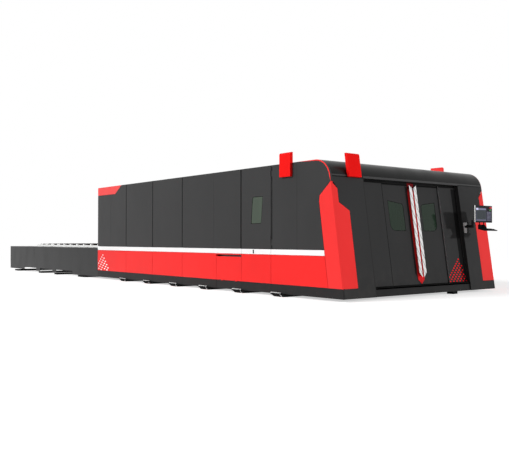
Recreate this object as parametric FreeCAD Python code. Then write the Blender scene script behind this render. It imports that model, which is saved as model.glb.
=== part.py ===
import FreeCAD, Part

import math
import os

# Enclosed fibre laser cutting machine with a two-level exchange table, in millimetres.
# Working frame of this file: X runs along the machine from the cabin's rear end (0) to its door end,
# Y runs across it (0 on the centre line, near side negative), Z is up from the floor (0).
# Every piece is moved along X when it is written, so that the origin lies under the middle of the whole.

V = FreeCAD.Vector

# ---------------------------------------------------------------- driving sizes
# cabin
cabin_length = 9103.0          # rear end to the foot of the leaning door end
cabin_width = 4300.0
cabin_height = 2400.0
front_lean = 8.5               # degrees that the door end leans back
fascia_radius = 355.0          # rounded edge from the roof to the door end
base_gap = 50.0                # floor to the base skirt
base_top = 219.0               # base skirt to red panels
stripe_low = 755.0             # red panels to white stripe
stripe_high = 853.0            # white stripe to dark panels
bay_lengths = [1589.0, 1309.0, 1291.0]   # dark panels from the rear end; one more reaches the side door
side_door_width = 904.0
side_door_setback = 1862.0     # from the cabin's foot back to the side door's front edge
seam_gap = 8.0                 # shadow gap between neighbouring panels
panel_depth = 40.0             # folded edge of a panel
sheet = 3.0                    # sheet thickness of the panels
first_groove = 0.473           # place of the pressed line in the first bay, as a share of it
last_groove = 0.563            # the same in the bay behind the side door
groove_width = 5.0             # pressed line in a wide panel
groove_depth = 1.5
flap_length = 849.0            # service flap, just behind the side door
flap_top = 697.0
flap_slot_height = 34.0        # finger slot over the flap
tab_length_top = 1323.0        # red tab at the rear top corner
tab_length_low = 979.0
tab_height = 205.0

# frame inside the skin
tube = 60.0                    # square tube of the cabin frame
rail_z_low = 45.0              # underside of the lowest tube, on the skids
roof_depth = 40.0

# red corner trim at the door end
trim_side_width = 330.0
trim_side_shoulder = 302.0
trim_apex_drop = 87.5          # from the fascia's lower edge down to the trim's tip
trim_shoulder_drop = 228.0     # from the tip down to each step of its outline
trim_full_drop = 332.0
trim_front_narrow = 136.0
trim_front_wide = 370.0
trim_front_drops = [119.0, 352.0, 491.0]
piping_width = 20.0
piping_thick = 3.0
piping_start = 470.0           # length of the taper along the roof edge, behind the rounded edge

# door end
recess_width = 2700.0
recess_depth = 72.0            # front plane to the fixed panels beside the doors
side_panel_depth = 20.0
leaf_depth = 30.0
leaf_clearance = 8.0
leaf_width = 820.0
leaf_overlap = 10.0            # how far a leaf reaches behind the fixed panel
centre_gap = 3.0               # between the two leaves
sill_setback = 20.0
sill_top = 205.0
guide_height = 24.0
door_top_gap = 17.0            # from the leaf's top to the fascia
door_track_lip = 14.0          # how far the track reaches down over the leaf's top
door_travel = 660.0
run_gap = 0.3                  # clearance under anything that slides
window_inner = 256.0           # from the centre line to the window's inner edge
window_outer = 668.0
window_low = 1206.0
window_high_inner = 1700.0
window_high_outer = 1752.0
window_small_radius = 60.0
window_large_radius = 120.0
glass_thick = 6.0
glass_lap = 14.0
handle_plate_half = 90.0       # from the centre line to the outer edge of the handle's red plate
handle_plate_thick = 11.0
handle_plate_gap = 4.0         # from the plate up to the fascia
handle_plate_low_outer = 312.0
handle_plate_low_inner = 236.0
handle_bar_inner = 22.0        # from the centre line to the white bar's edges
handle_bar_outer = 99.0
handle_bar_thick = 6.0
handle_bar_proud = 67.0        # from the leaf to the bar's face
handle_rib_inset = 10.0        # how far the red rib keeps inside the bar's outline
handle_bar_drop_outer = 36.0   # from the leaf's top to the white bar
handle_bar_drop_inner = 90.0
handle_bar_low_outer = 437.0
handle_bar_low_inner = 348.0

# side door
side_window_x = 355.0          # from the door's rear edge to the window's upper corner
side_window_width = 308.0
side_window_slant = 46.0
side_window_low = 1333.0
side_window_high = 1841.0
side_window_radius = 40.0
latch_x = 383.0
latch_height = 70.0
latch_width = 22.0
latch_thick = 9.0
hinge_radius = 7.0
hinge_pin_radius = 4.0
pin_clearance = 0.05
hinge_height = 110.0
hinge_leaf = 26.0
hinge_leaf_thick = 2.5
hinge_end_low = 980.0          # the lower hinge, from the floor
hinge_end_high = 220.0         # the upper one, from the roof
flap_hinge_inset = 130.0

# floor skids: bars across the machine that it stands on
skid_width = 250.0
skid_foot_width = 190.0
skid_overhang = 50.0
first_skid_x = 1600.0
last_skid_setback = 1553.0     # from the cabin's foot back to the last skid
skid_count = 6
notch_width = 330.0
notch_height = 45.0
front_foot_y = 870.0
front_foot_width = 140.0
front_foot_setback = 165.0

# machine bed, gantry and cutting head
bed_rear_x = 110.0
bed_front_setback = 853.0      # from the cabin's foot back to the bed's front end
bed_inner_y = 1330.0
bed_beam_width = 300.0
bed_top = 960.0
bed_wall = 16.0
tie_count = 5
tie_width = 180.0
tie_height = 160.0
tie_z = 105.0
ledge_width = 90.0
ledge_thick = 18.0
rail_width = 45.0
rail_height = 40.0
gantry_rest_setback = 950.0    # from the bed's front end back to the gantry at rest
gantry_travel = 6750.0
gantry_width = 300.0
gantry_low = 1090.0
gantry_high = 1450.0
gantry_half_length = 1590.0
gantry_wall = 14.0
block_length = 150.0
block_width = 100.0
block_spacing = 420.0
slide_rail = 30.0              # square rail of the carriage on the gantry
slide_rail_inset = 60.0
carriage_width = 360.0
carriage_thick = 70.0
carriage_travel = 1180.0
head_width = 150.0
head_depth = 130.0
head_low = 1260.0
head_high = 1780.0
nozzle_tip_z = 1130.0
nozzle_radius = 14.0
head_travel = 222.0

# pallets and exchange table
table_length = 6800.0
table_top = 808.0
table_rear_reach = 250.0       # from the table's rear end to the pallet
skirt_low = 70.0
skirt_front_low = 45.0
skirt_raised = 136.0
skirt_tab_low = 52.0
skirt_rear_step = 1363.0       # from the rear end: end of the low stretch
skirt_tab_x = [2388.0, 3688.0] # from the rear end: start of each tab
skirt_tab_width = 306.0
skirt_front_step = 5160.0
skirt_groove = 2211.0          # from the rear end to the pressed line in the skirt
# centre, from the rear end, and width of each skid under the table
table_skids = [(780.0, 400.0), (2830.0, 250.0), (4080.0, 250.0), (5870.0, 460.0)]
table_frame_width = 110.0
table_frame_low = 330.0
table_frame_top = 800.0
pallet_length = 6200.0
pallet_half_width = 1300.0
pallet_rail = 80.0
pallet_height = 140.0
pallet_bar_width = 60.0
pallet_bar_height = 45.0
pallet_keel_width = 40.0
upper_pallet_z = 720.0
lower_pallet_z = 500.0
pallet_travel = 7150.0
slat_count = 28
slat_thick = 6.0
slat_rise = 40.0               # how far the teeth stand over the frame
teeth = 9
tooth_depth = 45.0

# roof signs
sign_width = 300.0
sign_depth = 50.0
sign_top_depth = 62.0
sign_hang = 245.0              # below the roof
sign_rise = 190.0              # above the roof
sign_round = 38.0
sign_ahead = 299.0             # ahead of the side door
front_sign_inset = 411.0       # from the near side
front_sign_height = 420.0

# cabinets beside the bed
cabinet_setback = 77.0         # from the side door back to the cabinet
cabinet_length = 1380.0
cabinet_to_bed = 20.0
cabinet_to_frame = 30.0
cabinet_height = 1650.0
source_x = 2700.0
source_length = 1320.0
source_height = 1100.0

# operator's screen
bracket_y = 1370.0
bracket_width = 80.0
bracket_low = 1150.0
bracket_high = 1370.0
bracket_proud = 70.0
arm_reach = 195.0
arm_inward = 90.0              # how far the arm's end lies nearer to the doors than the bracket
arm_width = 40.0
arm_height = 50.0
arm_z = 1262.0
pivot_radius = 12.0
hub_height = 96.0
screen_ahead = 177.0           # ahead of the cabin's foot
screen_y = 1511.0
screen_width = 555.0
screen_height = 328.0
screen_thick = 38.0
screen_z = 1361.0
bezel = 16.0
button_column = 130.0          # plain strip beside the display, with the buttons
tray_width = 450.0
tray_depth = 150.0
tray_thick = 14.0
tray_tilt = 14.0
tray_drop = 112.0              # from the screen's lower edge to the tray
tray_offset = 79.0
tray_post_offsets = [-118.0, 19.0]
post_radius = 9.0
stop_radius = 20.0
start_radius = 16.0
stem_radius = 8.0
stop_travel = 6.0
start_travel = 4.0

# ---------------------------------------------------------------- worked out from them
half = cabin_width / 2
skin_back = half - panel_depth                # |Y| of the panels' folded edge
tube_in = skin_back - tube
lean = math.radians(front_lean)
tan_lean = math.tan(lean)
fascia_low = cabin_height - fascia_radius * (1 - math.sin(lean))


def front_x(z):
    """X of the leaning door end's plane at height z."""
    return cabin_length - (z - base_gap) * tan_lean


arc_x = front_x(fascia_low) - fascia_radius * math.cos(lean)
arc_z = cabin_height - fascia_radius
door_front = cabin_length - side_door_setback
door_rear = door_front - side_door_width
seams = [sum(bay_lengths[:i]) for i in range(len(bay_lengths) + 1)] + [door_rear]
trim_apex_z = fascia_low - trim_apex_drop
trim_shoulder_z = trim_apex_z - trim_shoulder_drop
trim_full_z = trim_apex_z - trim_full_drop
trim_front_step_top, trim_front_step_mid, trim_front_step_low = [trim_apex_z - d for d in trim_front_drops]
flap_start = door_rear - flap_length
leaf_front = -(recess_depth + side_panel_depth + leaf_clearance)
leaf_back = leaf_front - leaf_depth
leaf_high = fascia_low - door_top_gap
skid_pitch = (cabin_length - last_skid_setback - first_skid_x) / (skid_count - 1)
skid_xs = [first_skid_x + i * skid_pitch for i in range(skid_count)]
side_door_hinges_z = [hinge_end_low, cabin_height - hinge_end_high]
bed_front_x = cabin_length - bed_front_setback
gantry_rest_x = bed_front_x - gantry_rest_setback
screen_x = cabin_length + screen_ahead
rail_y = bed_inner_y + bed_beam_width / 2
bearing_low = bed_top + 8.0
bearing_top = gantry_low
tray_rear_x = screen_x - screen_thick
tray_front_x = tray_rear_x + tray_depth * math.cos(math.radians(tray_tilt))
rear_end_x = -table_length
middle_x = (tray_front_x + rear_end_x) / 2

FRONT = FreeCAD.Placement(V(0, 0, 0), FreeCAD.Rotation(V(0, 1, 0), -front_lean), V(cabin_length, 0, base_gap))


# ---------------------------------------------------------------- forms
def box(x0, x1, y0, y1, z0, z1):
    """Block between two corners."""
    return Part.makeBox(x1 - x0, y1 - y0, z1 - z0, V(x0, y0, z0))


def face_of(points):
    """Flat face inside a closed outline of points."""
    return Part.Face(Part.makePolygon(points + [points[0]]))


def side_prism(outline, y0, y1):
    """Outline of (x, z) points carried across from y0 to y1."""
    return face_of([V(x, y0, z) for x, z in outline]).extrude(V(0, y1 - y0, 0))


def end_prism(outline, x0, x1):
    """Outline of (y, z) points carried along from x0 to x1."""
    return face_of([V(x0, y, z) for y, z in outline]).extrude(V(x1 - x0, 0, 0))


def fuse(first, *others):
    """Union of touching or crossing solids, as one clean solid."""
    return first.fuse(list(others)).removeSplitter()


def cut(first, *others):
    """The first solid without the others."""
    return first.cut(list(others)).removeSplitter()


def mirror(shape):
    """The same piece on the other side of the centre line."""
    return shape.mirror(V(0, 0, 0), V(0, 1, 0))


def cylinder(x, y, z, radius, length, direction=V(0, 0, 1)):
    """Round bar from a point along a direction."""
    return Part.makeCylinder(radius, length, V(x, y, z), direction)


def on_front(shape):
    """Turns a piece built against an upright plane at the cabin's foot into the leaning door end.

    Such a piece has x = 0 on the front plane, negative inside, and z along the slope.
    """
    moved = shape.copy()
    moved.translate(V(cabin_length, 0, 0))
    moved.Placement = FRONT.multiply(moved.Placement)
    return moved


def slope(z):
    """Distance up the slope, measured as z in on_front, of a point at height z."""
    return base_gap + (z - base_gap) / math.cos(lean)


def side_pan(outline, holes=()):
    """Folded panel on the near side: a sheet with edges turned in, from an outline wire or (x, z) points."""
    if isinstance(outline, list):
        wire = Part.makePolygon([V(x, 0, z) for x, z in outline + [outline[0]]])
    else:
        wire = outline
    full = Part.Face(wire)
    inner = Part.Face(wire.makeOffset2D(-sheet, 2))
    full.translate(V(0, -half, 0))
    inner.translate(V(0, -half + sheet, 0))
    shell = full.extrude(V(0, panel_depth, 0)).cut(inner.extrude(V(0, panel_depth, 0)))
    return cut(shell, *holes) if holes else shell


def front_pan(outline, depth, start=0.0):
    """Folded panel in the front plane from (y, slope z) points, its face at x = start."""
    wire = Part.makePolygon([V(0, y, z) for y, z in outline + [outline[0]]])
    full = Part.Face(wire)
    inner = Part.Face(wire.makeOffset2D(-sheet, 2))
    full.translate(V(start, 0, 0))
    inner.translate(V(start - sheet, 0, 0))
    return full.extrude(V(-depth, 0, 0)).cut(inner.extrude(V(-depth, 0, 0)))


def rounded(points, radii):
    """Closed wire through points, with an arc of the given radius at each corner that has one."""
    edges = []
    count = len(points)
    ends = []
    for i, p in enumerate(points):
        before = (points[i - 1] - p).normalize()
        after = (points[(i + 1) % count] - p).normalize()
        reach = radii[i] / math.tan(before.getAngle(after) / 2) if radii[i] else 0.0
        a = p + before * reach
        b = p + after * reach
        ends.append((a, b))
        if radii[i]:
            bisector = (before + after).normalize()
            centre = p + bisector * (radii[i] / math.sin(before.getAngle(after) / 2))
            edges.append(Part.Arc(a, centre + (p - centre).normalize() * radii[i], b).toShape())
    for i in range(count):
        edges.append(Part.LineSegment(ends[i][1], ends[(i + 1) % count][0]).toShape())
    return Part.Wire(Part.__sortEdges__(edges))


def first_groove_x():
    """X of the pressed line in the first bay, where a post stands too."""
    return bay_lengths[0] * first_groove


def groove(x):
    """Pressed line down a panel on the near side."""
    w = groove_width / 2
    return box(x - w, x + w, -half - 1, -half + groove_depth, base_gap, cabin_height + 1)


def hinge(height):
    """Fixed and moving halves of a hinge on the axis X = Y = 0: pin and lower knuckle, and upper knuckle."""
    knuckle = height / 2 - run_gap
    pin = cylinder(0, 0, 0, hinge_pin_radius, height)
    fixed_plate = box(0, hinge_leaf, hinge_radius - hinge_leaf_thick, hinge_radius, 0, knuckle)
    fixed = fuse(cylinder(0, 0, 0, hinge_radius, knuckle), fixed_plate, pin)
    top = height / 2
    moving_plate = box(-hinge_leaf, 0, hinge_radius - hinge_leaf_thick, hinge_radius, top, height)
    moving = fuse(cylinder(0, 0, top, hinge_radius, height - top), moving_plate)
    return fixed, moving.cut(cylinder(0, 0, -1, hinge_pin_radius + pin_clearance, height + 2))


# ---------------------------------------------------------------- cabin
def trim_rear_edge():
    """The side leg of the corner trim: its rear edge from the base up to the apex, as (x, z) points."""
    return [
        (front_x(base_top) - trim_side_width, base_top),
        (front_x(trim_full_z) - trim_side_width, trim_full_z),
        (front_x(trim_shoulder_z) - trim_side_shoulder, trim_shoulder_z),
        (front_x(trim_apex_z), trim_apex_z),
    ]


def rear_edge_x(z):
    """X of the corner trim's rear edge at a height below its widest point."""
    return front_x(z) - trim_side_width - seam_gap


def front_panel():
    """Dark panel ahead of the side door, with the rounded upper corner and a cut-out for the corner trim."""
    x0 = door_front + seam_gap / 2
    z0 = stripe_high + seam_gap / 2
    full_x = front_x(trim_full_z) - trim_side_width - seam_gap
    shoulder_x = front_x(trim_shoulder_z) - trim_side_shoulder - seam_gap
    middle = math.radians(45 + front_lean / 2)
    corners = [
        V(x0, 0, cabin_height),
        V(x0, 0, z0),
        V(rear_edge_x(z0), 0, z0),
        V(full_x, 0, trim_full_z),
        V(shoulder_x, 0, trim_shoulder_z),
        V(front_x(trim_apex_z), 0, trim_apex_z + seam_gap),
        V(front_x(fascia_low), 0, fascia_low),
    ]
    edges = [Part.LineSegment(a, b).toShape() for a, b in zip(corners, corners[1:])]
    top = V(arc_x, 0, cabin_height)
    on_arc = V(arc_x + fascia_radius * math.cos(middle), 0, arc_z + fascia_radius * math.sin(middle))
    edges.append(Part.Arc(corners[-1], on_arc, top).toShape())
    edges.append(Part.LineSegment(top, corners[0]).toShape())
    return side_pan(Part.Wire(edges))


def upper_panels():
    """Dark panels from the rear end to the side door; the first is cut under the red tab."""
    z0 = stripe_high + seam_gap / 2
    panels = []
    for i in range(len(seams) - 1):
        x0 = seams[i] + (seam_gap / 2 if i else 0.0)
        x1 = seams[i + 1] - seam_gap / 2
        outline = [(x0, z0), (x1, z0), (x1, cabin_height), (x0, cabin_height)]
        if i == 0:
            outline = outline[:3] + [
                (tab_length_top + seam_gap, cabin_height),
                (tab_length_low + seam_gap, cabin_height - tab_height - seam_gap / 2),
                (x0, cabin_height - tab_height - seam_gap / 2),
            ]
        panels.append(side_pan(outline))
    grooves = [groove(first_groove_x()), groove(seams[3] + (seams[4] - seams[3]) * last_groove)]
    return [cut(panels[0], grooves[0]), panels[1], panels[2], cut(panels[3], grooves[1])]


def rear_tab():
    """Red tab in the rear top corner."""
    z0 = cabin_height - tab_height
    return side_pan([(0, z0), (tab_length_low, z0), (tab_length_top, cabin_height), (0, cabin_height)])


def band_panel(x0, x1, z0=None, z1=None):
    """Red panel between two seams."""
    low = (base_top if z0 is None else z0) + seam_gap / 4
    high = (stripe_low if z1 is None else z1) - seam_gap / 4
    return side_pan([(x0, low), (x1, low), (x1, high), (x0, high)])


def lower_panels(with_flap):
    """Red panels: one a bay, the strip over the flap, and the piece that meets the corner trim."""
    g = seam_gap / 2
    edges = seams[:4] + [flap_start]
    panels = [band_panel(a + (g if a else 0), b - g) for a, b in zip(edges, edges[1:])]
    if with_flap:
        strip_low = flap_top + flap_slot_height
        panels.append(band_panel(flap_start + g, door_rear - g, strip_low))
    else:
        panels.append(band_panel(flap_start + g, door_rear - g))
        panels.append(band_panel(door_rear + g, door_front - g))
    low = base_top + g / 2
    high = stripe_low - g / 2
    x0 = door_front + g
    panels.append(side_pan([(x0, low), (rear_edge_x(low), low), (rear_edge_x(high), high), (x0, high)]))
    return panels


def stripe(x0, x1, slanted=False):
    """White stripe between the red and the dark panels."""
    low = stripe_low + seam_gap / 4
    high = stripe_high - seam_gap / 4
    if slanted:
        return side_pan([(x0, low), (rear_edge_x(low), low), (rear_edge_x(high), high), (x0, high)])
    return side_pan([(x0, low), (x1, low), (x1, high), (x0, high)])


def base_skirt():
    """Base skirt with a notch over each floor skid and pressed lines at the seams."""
    outline = [(0, base_top), (0, base_gap)]
    slant = notch_height / 2
    for x in skid_xs:
        outline += [
            (x - notch_width / 2, base_gap),
            (x - notch_width / 2 + slant, base_gap + notch_height),
            (x + notch_width / 2 - slant, base_gap + notch_height),
            (x + notch_width / 2, base_gap),
        ]
    outline += [(front_x(base_gap), base_gap), (front_x(base_top), base_top)]
    grooves = [groove(x) for x in seams[1:4] + [flap_start, door_rear, door_front]]
    return cut(side_pan(outline), *grooves)


def corner_trim():
    """Red trim folded round the door end's corner, with its edges turned in."""
    side = trim_rear_edge() + [(front_x(base_top), base_top)]
    wire = Part.makePolygon([V(x, -half, z) for x, z in side + [side[0]]])
    side_full = Part.Face(wire).extrude(V(0, panel_depth, 0))
    side_inner = Part.Face(wire.makeOffset2D(-sheet, 2))
    side_inner.translate(V(0, sheet, 0))
    side_inner = side_inner.extrude(V(0, panel_depth, 0))
    edge = -half
    front = [
        (edge, slope(base_top)),
        (edge + trim_front_wide, slope(base_top)),
        (edge + trim_front_wide, slope(trim_front_step_low)),
        (edge + trim_front_narrow, slope(trim_front_step_mid)),
        (edge + trim_front_narrow, slope(trim_front_step_top)),
        (edge, slope(trim_apex_z)),
    ]
    wire = Part.makePolygon([V(0, y, z) for y, z in front + [front[0]]])
    front_full = on_front(Part.Face(wire).extrude(V(-panel_depth, 0, 0)))
    front_full = front_full.common(side_prism(side, -half, 0))
    front_inner = Part.Face(wire.makeOffset2D(-sheet, 2))
    front_inner.translate(V(-sheet, 0, 0))
    front_inner = on_front(front_inner.extrude(V(-panel_depth, 0, 0)))
    # the upright sheets meet at the corner, so nothing of the turned-in edges stays inside it
    return side_full.fuse(front_full).cut([side_inner, front_inner]).removeSplitter()


def edge_piping():
    """Thin red strip along the roof edge and round the upper corner, tapering at both ends."""
    r = fascia_radius
    y = -half - piping_thick
    middle = math.radians(45 + front_lean / 2)
    inner = r - piping_width
    start = V(arc_x - piping_start, y, cabin_height)
    top = V(arc_x, y, cabin_height)
    foot = V(front_x(fascia_low), y, fascia_low)
    tip = V(front_x(trim_apex_z), y, trim_apex_z)
    foot_in = V(arc_x + inner * math.cos(lean), y, arc_z + inner * math.sin(lean))
    top_in = V(arc_x, y, cabin_height - piping_width)
    arc = V(arc_x + r * math.cos(middle), y, arc_z + r * math.sin(middle))
    arc_in = V(arc_x + inner * math.cos(middle), y, arc_z + inner * math.sin(middle))
    edges = [
        Part.LineSegment(start, top).toShape(),
        Part.Arc(top, arc, foot).toShape(),
        Part.LineSegment(foot, tip).toShape(),
        Part.LineSegment(tip, foot_in).toShape(),
        Part.Arc(foot_in, arc_in, top_in).toShape(),
        Part.LineSegment(top_in, start).toShape(),
    ]
    return Part.Face(Part.Wire(edges)).extrude(V(0, piping_thick, 0))


def front_fascia():
    """Rounded sheet from the roof to the door end, with a turned-in lower edge."""
    r = fascia_radius
    middle = math.radians(45 + front_lean / 2)

    def point(radius, angle):
        return V(arc_x + radius * math.cos(angle), -skin_back, arc_z + radius * math.sin(angle))

    outer, inner = [
        Part.Arc(point(radius, lean), point(radius, middle), point(radius, math.pi / 2)).toShape()
        for radius in (r, r - sheet)
    ]
    edges = [
        outer,
        Part.LineSegment(point(r, math.pi / 2), point(r - sheet, math.pi / 2)).toShape(),
        inner,
        Part.LineSegment(point(r - sheet, lean), point(r, lean)).toShape(),
    ]
    shell = Part.Face(Part.Wire(Part.__sortEdges__(edges))).extrude(V(0, 2 * skin_back, 0))
    low = slope(fascia_low)
    flange = on_front(box(-panel_depth, 0, -skin_back, skin_back, low, low + sheet))
    return fuse(shell, flange)


def roof_panel():
    """Roof: a long shallow pan with pressed seams, between the side panels."""
    y = skin_back - sheet
    outer = box(sheet, arc_x, -y, y, cabin_height - roof_depth, cabin_height)
    inner = box(
        2 * sheet, arc_x - sheet, -y + sheet, y - sheet,
        cabin_height - roof_depth - 1, cabin_height - sheet,
    )
    ribs = [
        box(x - groove_width, x + groove_width, -y - 1, y + 1, cabin_height - groove_depth, cabin_height + 1)
        for x in seams[1:] + [door_front]
    ]
    return cut(outer, inner, *ribs)


def rear_wall():
    """Rear wall: a folded sheet with the opening that the pallets pass through."""
    y = skin_back - sheet
    top = cabin_height - roof_depth
    outer = box(0, panel_depth, -y, y, base_gap, top)
    inner = box(sheet, panel_depth + 1, -y + sheet, y - sheet, base_gap + sheet, top - sheet)
    hole_y = bed_inner_y + 10
    low, high = shuttle_low(), shuttle_high()
    frame = box(0, panel_depth, -hole_y - sheet, hole_y + sheet, low - sheet, high + sheet)
    shell = outer.cut(inner).fuse(frame)
    return cut(shell, box(-1, panel_depth + 1, -hole_y, hole_y, low, high))


def shuttle_low():
    """Lower edge of the rear opening."""
    return lower_pallet_z - ledge_thick - 30


def shuttle_high():
    """Upper edge of the rear opening."""
    return upper_pallet_z + pallet_height + slat_rise + 60


def corner_post():
    """Leaning tube behind the near corner trim, and the curved tube that joins it to the upper rail."""
    top = slope(fascia_low) + sheet
    post = on_front(box(-panel_depth - tube, -panel_depth, -skin_back, -tube_in, rail_z_low - tube, top))
    post = post.common(box(0, cabin_length + 100, -half, 0, rail_z_low, cabin_height))
    outer = cylinder(arc_x, -skin_back, arc_z, fascia_radius - sheet, tube, V(0, 1, 0))
    inner = cylinder(arc_x, -skin_back - 1, arc_z, fascia_radius - sheet - tube, tube + 2, V(0, 1, 0))
    quarter = box(arc_x, arc_x + fascia_radius, -skin_back, -tube_in, arc_z - 1, cabin_height)
    below = on_front(box(-fascia_radius, 10, -skin_back - 1, -tube_in + 1, slope(0), top))
    return [post, outer.cut(inner).common(quarter).cut(below).removeSplitter()]


def cabin_frame():
    """Square tubes behind the panels: posts at the seams, rails on both sides, ties across the ends."""
    low_top = rail_z_low + tube
    top_low = cabin_height - roof_depth - tube
    post_xs = [panel_depth]
    post_xs += [s - tube / 2 for s in (first_groove_x(), *seams[1:4])]
    post_xs += [flap_start - tube, door_rear - tube, door_front]
    post_xs.append((door_front + arc_x) / 2 - tube / 2)
    near = [box(x, x + tube, -skin_back, -tube_in, low_top, top_low) for x in post_xs]
    behind_post = on_front(box(-2 * cabin_length, -panel_depth - tube, -half, 0, -half, half))
    low_rail = box(panel_depth, cabin_length, -skin_back, -tube_in, rail_z_low, low_top)
    near.append(low_rail.common(behind_post))
    near.append(box(panel_depth, arc_x, -skin_back, -tube_in, top_low, top_low + tube))
    near += corner_post()
    middle = (door_rear + door_front) / 2
    bay_post = box(middle - tube / 2, middle + tube / 2, tube_in, skin_back, low_top, top_low)
    far = [mirror(s) for s in near] + [bay_post]
    across = [
        box(panel_depth, panel_depth + tube, -tube_in, tube_in, top_low, top_low + tube),
        box(panel_depth, panel_depth + tube, -tube_in, tube_in, rail_z_low, low_top),
    ]
    low = slope(fascia_low) + sheet
    header = on_front(box(leaf_back - panel_depth, -sill_setback, -tube_in, tube_in, low, low + tube))
    return near + far + across + [header]


# ---------------------------------------------------------------- door end
def front_jamb():
    """Dark panel between the corner trim and the doors, with a deep turned-in edge at the door recess."""
    edge = -half
    inner = -recess_width / 2
    g = seam_gap / 2
    low = slope(base_gap)
    trim_low = slope(base_top)
    outline = [
        (-skin_back, low),
        (inner, low),
        (inner, slope(fascia_low) - g),
        (-skin_back, slope(fascia_low) - g),
        (-skin_back, slope(trim_apex_z) + g),
        (edge + trim_front_narrow + g, slope(trim_front_step_top) + g),
        (edge + trim_front_narrow + g, slope(trim_front_step_mid) + g),
        (edge + trim_front_wide + g, slope(trim_front_step_low) + g),
        (edge + trim_front_wide + g, trim_low - g),
        (-skin_back, trim_low - g),
    ]
    pan = front_pan(outline, panel_depth)
    reveal = box(leaf_front + leaf_clearance, 0, inner - sheet, inner, low, slope(fascia_low) - g)
    return clip_low(on_front(fuse(pan, reveal)))


def clip_low(shape):
    """Cuts what a leaning piece lets down below the base skirt's lower edge."""
    return shape.cut(box(0, cabin_length + 500, -half - 10, half + 10, base_gap - 200, base_gap))


def front_sill():
    """Sill under the doors, set back a little from the jambs."""
    y = recess_width / 2
    outer = box(leaf_back - panel_depth, -sill_setback, -y, y, slope(base_gap), slope(sill_top))
    return clip_low(on_front(outer))


def door_tracks():
    """Top channel that the leaves hang in and the guide bar under them."""
    reach = leaf_width + door_travel + 60
    wall = leaf_clearance / 2
    play = leaf_clearance - wall
    top = slope(fascia_low) + sheet
    low = slope(leaf_high) - door_track_lip
    outer = box(leaf_back - leaf_clearance, leaf_front + leaf_clearance, -reach, reach, low, top)
    groove_in = box(leaf_back - play, leaf_front + play, -reach - 1, reach + 1, low - 1, slope(leaf_high) + 6)
    guide_x = (leaf_front + leaf_back) / 2
    guide = box(guide_x - 5, guide_x + 5, -reach, reach, slope(sill_top), slope(sill_top) + guide_height)
    half_sill = recess_width / 2
    guide = guide.common(box(2 * leaf_back, 0, -half_sill, half_sill, 0, cabin_height))
    return [on_front(outer.cut(groove_in)), on_front(guide)]


def door_side_panel():
    """Fixed panel between the jamb and the leaf."""
    outer = -recess_width / 2
    inner = -(centre_gap / 2 + leaf_width - leaf_overlap)
    low, high = slope(sill_top), slope(fascia_low) - 25
    outline = [(outer, low), (inner, low), (inner, high), (outer, high)]
    return on_front(front_pan(outline, side_panel_depth, -recess_depth))


def window_wire(grow):
    """Outline of the near leaf's window in the front plane, grown by a margin."""
    low, high_out, high_in = slope(window_low), slope(window_high_outer), slope(window_high_inner)
    points = [
        V(0, -window_outer, high_out),
        V(0, -window_inner, high_in),
        V(0, -window_inner, low),
        V(0, -window_outer, low),
    ]
    wire = rounded(points, [0, window_small_radius, 0, window_large_radius])
    return wire.makeOffset2D(grow, 2) if grow else wire


def door_leaf():
    """Sliding leaf: a folded pan with the window cut out."""
    outer = -(centre_gap / 2 + leaf_width)
    inner = -centre_gap / 2
    low, high = slope(sill_top) + guide_height + run_gap, slope(leaf_high)
    pan = front_pan([(outer, low), (inner, low), (inner, high), (outer, high)], leaf_depth, leaf_front)
    hole = Part.Face(window_wire(0)).extrude(V(-leaf_depth, 0, 0))
    hole.translate(V(leaf_front + 1, 0, 0))
    return on_front(pan.cut(hole))


def door_glass():
    """Safety glass behind the leaf's sheet."""
    pane = Part.Face(window_wire(glass_lap)).extrude(V(-glass_thick, 0, 0))
    pane.translate(V(leaf_front - sheet, 0, 0))
    return on_front(pane)


def handle_wire(inner, outer, top_inner, top_outer, low_inner, low_outer):
    """Outline of an upright strip with slanting ends beside the meeting edge, in the front plane."""
    points = [
        V(0, -outer, slope(low_outer)),
        V(0, -inner, slope(low_inner)),
        V(0, -inner, slope(top_inner)),
        V(0, -outer, slope(top_outer)),
    ]
    return Part.makePolygon(points + [points[0]])


def handle_bar_wire():
    """Outline of the white bar."""
    return handle_wire(
        handle_bar_inner, handle_bar_outer,
        leaf_high - handle_bar_drop_inner, leaf_high - handle_bar_drop_outer,
        handle_bar_low_inner, handle_bar_low_outer,
    )


def handle_plate():
    """Red plate of the handle with the upright rib that carries the white bar."""
    top = fascia_low - handle_plate_gap
    outline = handle_wire(
        centre_gap / 2, handle_plate_half, top, top, handle_plate_low_inner, handle_plate_low_outer
    )
    plate = Part.Face(outline).extrude(V(handle_plate_thick, 0, 0))
    # the plate's top passes in front of the track's lip
    lip = leaf_clearance + run_gap
    track_low = slope(leaf_high) - door_track_lip - run_gap
    plate = plate.cut(box(-1, lip, -handle_plate_half - 1, 0, track_low, slope(cabin_height)))
    rib = Part.Face(handle_bar_wire().makeOffset2D(-handle_rib_inset, 2))
    rib = rib.extrude(V(handle_bar_proud - handle_bar_thick, 0, 0))
    whole = fuse(plate, rib)
    whole.translate(V(leaf_front, 0, 0))
    return on_front(whole)


def handle_bar():
    """White bar on the rib."""
    bar = Part.Face(handle_bar_wire()).extrude(V(handle_bar_thick, 0, 0))
    bar.translate(V(leaf_front + handle_bar_proud - handle_bar_thick, 0, 0))
    return on_front(bar)


# ---------------------------------------------------------------- side door and flap
def side_window_points():
    """Corners of the side door's window, as points on the near side's plane."""
    x = door_rear + side_window_x
    return [
        V(x, 0, side_window_high),
        V(x + side_window_width, 0, side_window_high),
        V(x + side_window_width - side_window_slant, 0, side_window_low),
        V(x - side_window_slant, 0, side_window_low),
    ]


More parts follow.
